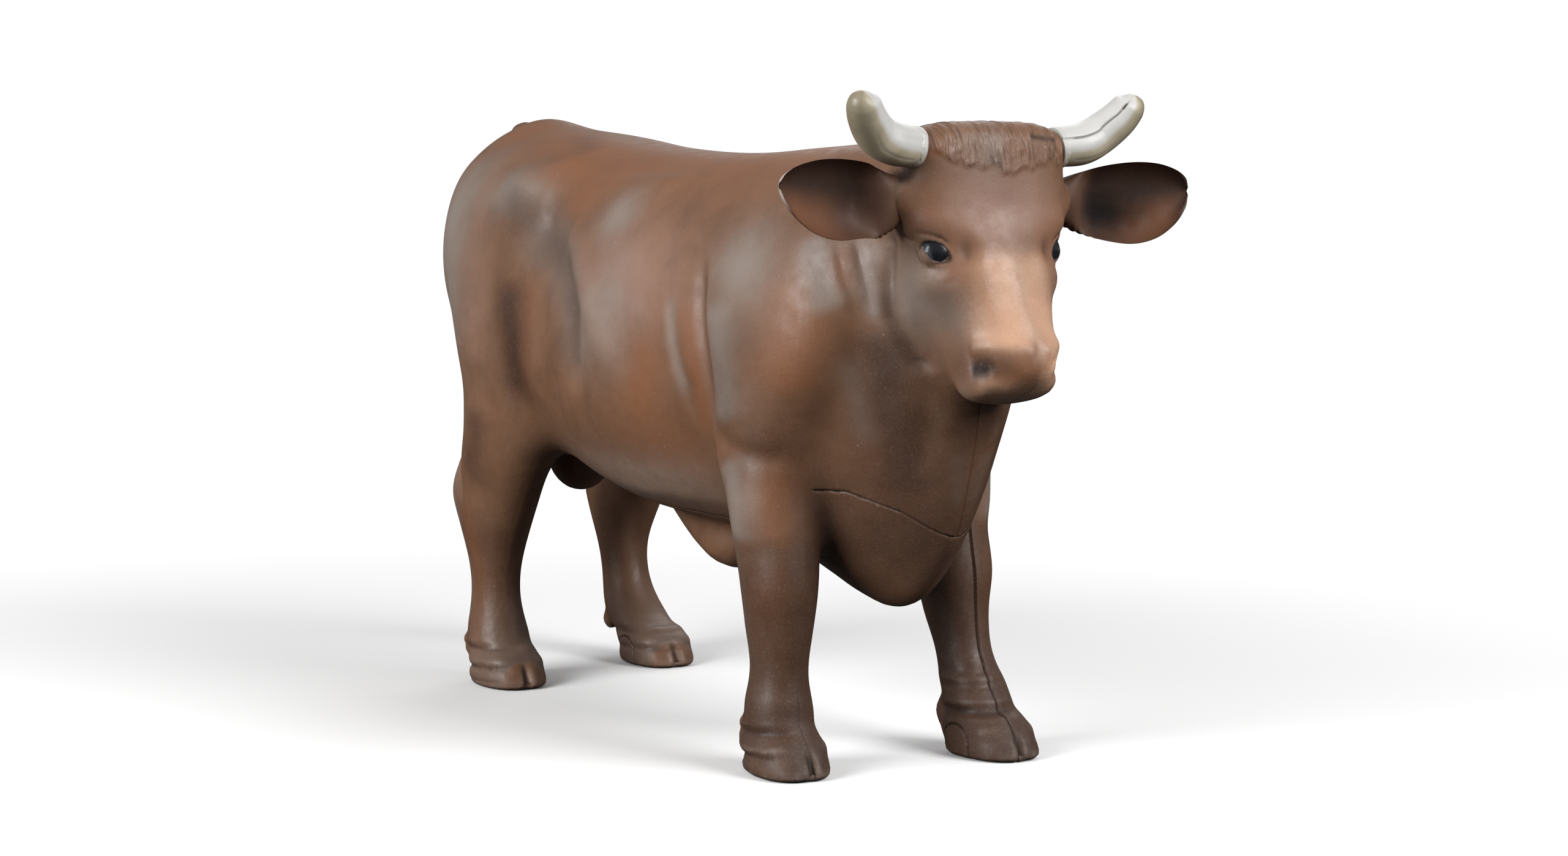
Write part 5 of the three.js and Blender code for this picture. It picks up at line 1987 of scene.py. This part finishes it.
HEAD_SPRAYS: Sprays = {
    Coat.ROSE: (
        Swell("forehead", (65, 2, 87), (5, 9, 6), 0.7),
    ),
    Coat.TAN: (
        Stroke("bridge of the nose", ((66.4, 2.6, 82), (69.4, 2.6, 75), (73, 2.6, 69), (74, 2.6, 66.8)), 4.2,
               0.75, 0.25),
        Swell("side of the nose", (69, 6, 70), (3.4, 3, 3.6), 0.5),
        Swell("top of the muzzle", (71.8, 4, 68), (3.8, 4.8, 2.6), 0.7),
        Swell("lower lip", (71.4, 0, 59.6), (4.5, 5.5, 2), 0.85),
        Swell("chin", (68, 2, 57.6), (5, 5, 2.2), 0.6),
        Swell("under the nostril", (69.6, 6.6, 61.4), (2.6, 2.4, 1.2), 0.4),
        # Painted highlight on the far wing of the nose.
        Swell("far wing of the nose", (73.4, 3.4, 63.2), (3, 2.8, 4.6), 0.95, 0, Side.LEFT),
    ),
    Coat.RUST: (
        Swell("front of the muzzle", (73.4, 3.6, 63.2), (3.6, 5, 2.8), 0.9),
        Swell("side of the muzzle", (66.5, 8.2, 63.6), (3.8, 3, 4.4), 0.9),
        Stroke("strands at the right horn", ((62, 10.6, 97), (63.6, 10.6, 93.6)), 1.5, 0.8, 0.2, Side.RIGHT),
        Stroke("strands at the left horn", ((62, 10.8, 97), (63.2, 11, 93.4)), 1.5, 0.8, 0.2, Side.LEFT),
        Stroke("strands in the middle", ((62, 5, 98), (64, 5.2, 93)), 1.3, 0.7, 0.2),
        Swell("round the eye", (65, 9, 79.6), (3, 3.6, 4.2), 0.85),
        Swell("inner brow", (65.6, 7.6, 83.8), (3, 3.4, 3), 0.75),
        Swell("temple", (61.5, 12.6, 86), (3.6, 3, 3.6), 0.5),
    ),
    # Painted shade: round and inside the nostril, under the nose, behind the jaw, in the eye's inner corner,
    # at the temple, beside the poll and under the throat.
    Coat.UMBER: (
        Swell("round the nostril", (72, 6.2, 64), (3.2, 3, 1.8), 0.6, 0, Side.RIGHT),
        Stroke("inside the nostril", ((66.8, 7.5, 63.2), (68.8, 6.8, 63.8), (71, 5.8, 64.1)), 1.3, 0.95, 0.2,
               Side.RIGHT),
        Swell("under the side of the nose", (65.5, 8.2, 64), (3.4, 3, 3.8), 0.6),
        Stroke("shade behind the jaw", ((53.2, 13, 76), (53.4, 11.6, 69), (55, 9, 63.6), (57, 5.6, 60)), 1.6,
               0.6, 0.2),
        Swell("corner of the eye", (66.2, 7.6, 80.8), (1.6, 1.5, 1.8), 0.45),
        Swell("temple", (56.6, 14.6, 86), (3, 3, 5), 0.5),
        Swell("side of the poll", (60, 12.5, 92), (3.4, 3, 3.4), 0.5),
        Swell("throat", (58.5, 2, 56), (6, 8, 6), 0.6),
    ),
    # Painted shade, near black, inside the nostril and in the dimple between the horn and the ear; the gap at
    # the left horn is a dark crack.
    Coat.SOOT: (
        Stroke("inside the nostril", ((67.2, 7.5, 63.5), (68.8, 6.8, 63.6), (70, 6.2, 63.7)), 1.1, 0.75, 0.2,
               Side.RIGHT),
        Stroke("gap at the left horn", ((64.2, 4.8, 97.1), (64.3, 6.5, 96.9), (64, 8.4, 96.7),
               (63.3, 10.6, 96.7)), 0.5, 1, 0.1, Side.LEFT),
        Swell("between the horn and the ear", (59.8, 14.8, 91.4), (1.7, 1.7, 1.4), 0.9),
    ),
    Coat.TAUPE: (
        Swell("side of the chin", (65, 7, 60.6), (2.4, 2.6, 2.2), 0.35),
        Swell("forelock", (63.5, 2.5, 95), (5, 5, 3.4), 0.4, 0, Side.RIGHT),
        Swell("cheek", (58.6, 11.6, 73), (5, 4, 8.5), 0.9, 10),
        Swell("side of the nose", (64.6, 8.8, 71.4), (3, 2.6, 4.4), 0.5),
    ),
}


@dataclass(frozen=True)
class EyeOpening:
    """The slanted opening between the lids, and how the skin lies round the eyeball.

    Attributes:
        eye: The eyeball.
        half_length: Half of its length.
        half_height: Half of its height.
        slant: Degrees that its inner end lies lower.
        lid: How far the lids stand over the eyeball.
        edge: How far to either side of its edge the skin is cut.
    """

    eye: Eye = Eye(Side.LEFT)
    half_length: float = 2.12
    half_height: float = 1.3
    slant: float = 33.0
    lid: float = 0.045
    edge: float = 0.07

    def seen(self, points: Array) -> tuple[Array, Array]:
        """Looks at places from the eye.

        Args:
            points: The points, one a row.

        Returns:
            Each point's place inwards, up and out of the eye, and how far out of the ball it is.
        """
        mirrored = points.copy()
        mirrored[:, 1] = np.abs(mirrored[:, 1])
        local = (mirrored - np.asarray(self.eye.at)) @ self.eye.ways().T
        return local, np.maximum(np.linalg.norm(local / self.eye.half, axis=1), 1e-6)

    def rim(self, points: Array) -> Array:
        """Measures places from the opening.

        Args:
            points: The points, one a row.

        Returns:
            How far each point is outside it.
        """
        local, far = self.seen(points)
        aside, above = local[:, :2].T / np.minimum(far, 1.0)
        turn = math.radians(self.slant)
        long = (aside * math.cos(turn) - above * math.sin(turn)) / self.half_length
        tall = (above * math.cos(turn) + aside * math.sin(turn)) / self.half_height
        tall = np.where(tall > 0.0, tall * 1.12, tall * 0.9)
        ring = (np.abs(long) ** 1.5 + np.abs(tall) ** 1.9) ** 0.58
        return np.where(local[:, 2] > 0.0, (ring - 1.0) * self.half_height, 9.0)

    def lift_at(self, points: Array) -> Array:
        """Finds the height of the lids and of the creases round them.

        Args:
            points: The points, one a row.

        Returns:
            The height at each point.
        """
        local, far = self.seen(points)
        rim = self.rim(points)
        upper = ease(-0.5, 0.5, local[:, 1])
        lids = bell(rim - 0.3, 0.3) * 0.05
        crease = bell(rim - 1.0, 0.35) * (0.05 + 0.07 * upper) * ease(2.4, 0.6, local[:, 0])
        return (lids - crease) * ease(2.4, 1.8, far)

    def lash_line(self, points: Array) -> Array:
        """Finds the dark paint at the lids' edges.

        Args:
            points: The points, one a row.

        Returns:
            How dark it is at each point, from 0 to 1.
        """
        local, far = self.seen(points)
        upper = ease(-0.6, 0.6, local[:, 1] + 0.5 * local[:, 0])
        line = bell(self.rim(points) - 0.05, 0.2) * (0.8 + 0.2 * upper)
        return line * ease(2.4, 1.8, far)

    def fitted(self, points: Array, rim: Array) -> Array:
        """Lays the skin behind the eyeball at the opening, and just over it at the lids.

        Args:
            points: The skin's points.
            rim: How far outside the opening each of them is.

        Returns:
            The moved points.
        """
        local, far = self.seen(points)
        near = ease(2.6, 1.9, far) * (local[:, 2] > 0.0)
        behind = ease(0.06, -0.06, rim) * near
        lid = 1.0 + self.lid
        over = 0.5 * (far + lid + np.sqrt((far - lid) ** 2 + 0.03 * ease(0.0, 1.2, rim)))
        new = far + (over - far) * near * (1.0 - behind) + (np.minimum(far, 0.86) - far) * behind
        moved = (local * (new / far)[:, None]) @ self.eye.ways() + np.asarray(self.eye.at)
        moved[:, 1] *= np.where(points[:, 1] < 0.0, -1.0, 1.0)
        return np.where((near > 0.0)[:, None], moved, points)


@dataclass(frozen=True)
class Core:
    """A short round bar that fills a socket, so that the skin runs smoothly round what sits in it.

    Attributes:
        name: What sits in the socket.
        at: Its inner end, on the left.
        end: How far out it goes.
        radius: Its radius.
        stagger: How much higher the right one is set.
    """

    name: str
    at: Point
    end: float
    radius: float
    stagger: float = 0.0

    def fill(self, clay: Clay) -> None:
        """Adds the bar on both sides of the clay."""
        x, y, z = clay.places()
        for side in (-1.0, 1.0):
            ring = np.hypot(x - self.at[0], z - self.at[2] + side * self.stagger) - self.radius
            away = np.maximum(np.maximum(ring, y * side - self.end), self.at[1] - y * side) / clay.voxel
            clay.density = np.maximum(clay.density, np.clip(0.5 - away / 2.0, 0.0, 1.0)).astype(np.float32)


CORES = (
    Core("horn", (60.2, 0, 95.1), 13.3, 3.25),
    Core("ear", (57.6, 6, 87.9), 16.2, 3.5, 0.6),
    Core("eye", (61.6, 6, 80.4), 11.6, 1.9),
)


@dataclass(frozen=True)
class Hide:
    """The bull's moulded skin: what is poured, sculpted, sprayed and parted.

    Attributes:
        low: The clay's lowest corner.
        high: Its highest corner.
        voxel: The clay's voxel.
        softness: How far the hooves, legs, head and trunk are softened.
        seams: Where the skin is parted.
        eyes: The openings of the eyes.
    """

    low: Point = (-98.0, -36.0, -8.0)
    high: Point = (84.0, 36.0, 110.0)
    voxel: float = 0.7
    softness: tuple[float, float, float, float] = (0.7, 1.1, 1.4, 2.8)
    seams: SeamPlan = field(default_factory=SeamPlan)
    eyes: EyeOpening = field(default_factory=EyeOpening)

    def poured(self, space: Space) -> Clay:
        """Pours the frame's mouldings as clay and softens it, the trunk most.

        Args:
            space: The bull's space.

        Returns:
            The clay.
        """
        points, triangles, count = [], [], 0
        for name in SKIN_NODES:
            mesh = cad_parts[name].data
            corners = np.empty(len(mesh.vertices) * 3)
            mesh.vertices.foreach_get("co", corners)
            mesh.calc_loop_triangles()
            rows = np.empty(len(mesh.loop_triangles) * 3, int)
            mesh.loop_triangles.foreach_get("vertices", rows)
            points.append(space.inward(corners.reshape(-1, 3)))
            triangles.append(rows.reshape(-1, 3) + count)
            count += len(mesh.vertices)
        clay = Clay(self.low, self.high, self.voxel)
        clay.pour(np.concatenate(points), np.concatenate(triangles))
        for core in CORES:
            core.fill(clay)
        x, _, z = clay.places()
        hoof, leg, face, trunk = clay.blurred(self.softness)
        low = ease(48.0, 34.0, z)
        foot = ease(14.0, 9.0, z)
        head = ease(46.0, 54.0, x) * ease(52.0, 60.0, z)
        body = trunk * (1 - low) + leg * (low - low * foot) + hoof * low * foot
        clay.density = body * (1 - head) + face * head
        return clay

    def longest(self, points: Array) -> Array:
        """Finds the longest edge that may stay.

        Args:
            points: The points, one a row.

        Returns:
            Its length at each point.
        """
        x, z = points[:, 0], points[:, 2]
        head = ease(44.0, 50.0, x) * ease(50.0, 56.0, z)
        fine = np.maximum(head, ease(14.0, 11.0, z))
        close = ease(4.2, 3.4, np.linalg.norm(np.abs(points) - np.asarray(self.eyes.eye.at), axis=1))
        return 1.4 - 0.9 * fine - 0.24 * close

    def sculpt(self, skin: Skin) -> None:
        """Models the trunk, the legs and the head, and lays the lids over the eyes.

        Args:
            skin: The skin.
        """
        still, rim = Stance().squared(skin.points), self.eyes.rim(skin.points)
        legs = LEG_FORMS + tuple(form for foot in FEET for form in foot.forms())
        rounds = (skin.points, TRUNK_FORMS), (still, legs), (skin.points, (*HEAD_FORMS, self.eyes))
        for spots, forms in rounds:
            lift = sum(form.lift_at(spots) for form in forms)
            skin.points = skin.points + skin.outward() * lift[:, None]
        skin.points = self.eyes.fitted(skin.points, rim)
        skin.points[:, 2] = np.maximum(skin.points[:, 2], LOWEST)

    def sprays(self, points: Array) -> dict[str, Array]:
        """Returns the coats that lie on the skin."""
        coats = sprayed(points, BODY_SPRAYS, HEAD_SPRAYS)
        legs = sprayed(Stance().squared(points), LEG_SPRAYS)
        return {name: 1.0 - (1.0 - coats[name]) * (1.0 - legs[name]) for name in coats}

    def build(self, space: Space, material: Material) -> None:
        """Builds every moulding of the skin and dresses it.

        Args:
            space: The bull's space.
            material: Its finish.
        """
        skin = Skin(self.poured(space))
        for _ in range(2):
            skin.refine(self.longest)
        for level in (self.eyes.edge, -self.eyes.edge):
            skin.slice(self.eyes.rim, level, 0.02)
        self.seams.cut(skin)
        groove, step = self.seams.groove(skin.points), self.seams.step(skin.points)
        rows = self.seams.part(skin.points, skin.triangles)
        masks = self.sprays(skin.points)
        masks["hair"] = Forelock().cover(skin.points)
        masks[Coat.SOOT.value] = np.maximum(masks[Coat.SOOT.value], self.eyes.lash_line(skin.points))
        self.sculpt(skin)
        # Curvature: the hide paints shade into hollows with it and lightens ridges as wear.
        masks["curve"] = skin.hollow()
        masks["seam"] = groove
        skin.points = skin.points + skin.outward() * (step - self.seams.depth * groove)[:, None]
        skin.points[:, 2] = np.maximum(skin.points[:, 2], LOWEST)
        points, outward = skin.points, skin.outward()
        for node, kept in rows.items():
            used, faces = np.unique(skin.triangles[kept], return_inverse=True)
            edge = self.seams.lipped(points[used], outward[used], faces.reshape(-1, 3), masks["seam"][used])
            held = {name: np.append(mask[used], mask[used][edge.copied]) for name, mask in masks.items()}
            piece(f"{node}_skin", space, edge.points, edge.faces, material, [node], held, edge.shading)


@dataclass(frozen=True)
class Lamp:
    """One soft square light.

    Attributes:
        name: Its name.
        at: Its place.
        aim: The point it faces.
        size: Its side.
        power: Its power in watts.
    """

    name: str
    at: Point
    aim: Point
    size: float
    power: float

    def hang(self, space: Space) -> None:
        """Hangs it in the scene.

        Args:
            space: The bull's space.
        """
        data = bpy.data.lights.new(self.name, "AREA")
        data.shape = "SQUARE"
        data.size = self.size * MM
        data.energy = self.power
        lamp = bpy.data.objects.new(self.name, data)
        start, end = (Vector(p) for p in space.outward([self.at, self.aim]))
        lamp.location = start
        lamp.rotation_euler = (end - start).to_track_quat("-Z", "Y").to_euler()
        bpy.context.scene.collection.objects.link(lamp)


@dataclass(frozen=True)
class Studio:
    """A pale floor, soft lights and the camera.

    Attributes:
        azimuth: Degrees that the camera stands round from the bull's right.
        elevation: Degrees that it looks down.
        place: Its place, in the bull's space.
        lens: Its focal length, for a sensor 36 mm wide.
        ambient: How bright the room is round the lights.
        paleness: How pale the floor looks.
        bounce: How much of its light the floor throws back at the toy.
        pool: The middle of the floor's lit pool, in metres.
        lamps: The lights.
    """

    azimuth: float = 58.0
    elevation: float = 4.99
    place: Point = (425.6, -263.1, 93.5)
    lens: float = 70.3125
    ambient: float = 0.25
    paleness: float = 1.5
    bounce: float = 0.55
    pool: Point = (-0.02, -0.03, 0.0)
    lamps: tuple[Lamp, ...] = (
        Lamp("key", (370.0, 150.0, 285.0), (10.0, 0.0, 60.0), 260.0, 2.0),
        Lamp("side", (40.0, -460.0, 230.0), (0.0, 0.0, 60.0), 300.0, 2.95),
        Lamp("rim", (-260.0, 260.0, 330.0), (0.0, 0.0, 70.0), 260.0, 0.35),
    )

    def build(self, space: Space) -> None:
        """Builds the floor, the lights and the camera.

        Args:
            space: The bull's space.
        """
        self.camera(space)
        self.floor(space)
        for lamp in self.lamps:
            lamp.hang(space)
        world = bpy.data.worlds.new("studio")
        world.use_nodes = True
        tree = Tree(world.node_tree)
        background = world.node_tree.nodes["Background"]
        seen = tree.add("LightPath").outputs["Is Camera Ray"]
        tree.feed(background.inputs["Strength"], tree.ramp(seen, 0.0, 1.0, self.ambient, 1.0))
        background.inputs["Color"].default_value = (1.0, 1.0, 1.0, 1.0)
        bpy.context.scene.world = world
        bpy.context.scene.view_settings.view_transform = "Standard"

    def camera(self, space: Space) -> None:
        """Puts the camera where the photograph was taken from.

        Args:
            space: The bull's space.
        """
        turn, rise = math.radians(self.azimuth), math.radians(self.elevation)
        back = Vector((math.sin(turn) * math.cos(rise), -math.cos(turn) * math.cos(rise), math.sin(rise)))
        data = bpy.data.cameras.new("camera")
        data.lens = self.lens
        data.sensor_width = 36.0
        data.clip_end = 20.0
        data.dof.use_dof = False
        camera = bpy.data.objects.new("camera", data)
        camera.location = space.outward([self.place])[0]
        camera.rotation_euler = (-back).to_track_quat("-Z", "Y").to_euler()
        bpy.context.scene.collection.objects.link(camera)
        bpy.context.scene.camera = camera

    def floor(self, space: Space) -> None:
        """Lays a plain pale floor.

        Args:
            space: The bull's space.
        """
        mesh = bpy.data.meshes.new("floor")
        reach = 4000.0
        corners = [(-reach, -reach, 0.0), (reach, -reach, 0.0), (reach, reach, 0.0), (-reach, reach, 0.0)]
        mesh.from_pydata([tuple(p) for p in space.outward(corners)], [], [(0, 1, 2, 3)])
        material = bpy.data.materials.new("pale_floor")
        material.use_nodes = True
        tree = Tree(material.node_tree)
        shader = material.node_tree.nodes["Principled BSDF"]
        seen = tree.add("LightPath").outputs["Is Camera Ray"]
        place = tree.add("TexCoord").outputs["Object"]
        away = tree.add("VectorMath", {"operation": "DISTANCE"}, i0=place, i1=self.pool)
        far = tree.ramp(away.outputs["Value"], 0.07, 0.26)
        paper = tree.math("MULTIPLY_ADD", tree.noise(900.0, 2.0), 0.02)
        near = tree.math("SUBTRACT", tree.ramp(seen, 0.0, 1.0, self.bounce, self.paleness), paper)
        tree.feed(shader.inputs["Base Color"], tree.times(near, tree.math("SUBTRACT", 1.0, far)))
        shader.inputs["Emission Color"].default_value = (1.0, 1.0, 1.0, 1.0)
        tree.feed(shader.inputs["Emission Strength"], tree.times(far, seen))
        shader.inputs["Roughness"].default_value = 0.7
        shader.inputs["Specular IOR Level"].default_value = 0.1
        mesh.materials.append(material)
        floor = bpy.data.objects.new("floor", mesh)
        bpy.context.scene.collection.objects.link(floor)


# How high each ear's upper edge stands, and how far its lobe hangs.
EAR_SHAPES = {Side.RIGHT: (0.86, 2.4), Side.LEFT: (0.98, 0.5)}


def main() -> None:
    """Builds the toy bull, its lights and its floor."""
    logging.basicConfig(level=logging.INFO, format="%(name)s: %(message)s")
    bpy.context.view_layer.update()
    space = Space.from_frame(Eye(Side.LEFT).at[0])
    effects = Effects()
    hide = HidePaint("airbrushed_hide").make(effects)
    horn = HornPaint("horn_paint", roughness=0.4, bump=0.00003).make(effects)
    ear = EarPaint("ear_paint", roughness=0.56).make(effects)
    eye = EyeGloss("eye_gloss", roughness=0.24, bump=0.000006).make(effects)
    Hide().build(space, hide)
    for side in (Side.RIGHT, Side.LEFT):
        Horn(side).build(space, horn)
        Ear(side, *EAR_SHAPES[side]).build(space, ear)
        Eye(side).build(space, eye)
    Tail().build(space, hide)
    Studio().build(space)
    bpy.context.view_layer.update()


if __name__ == "__main__":
    main()
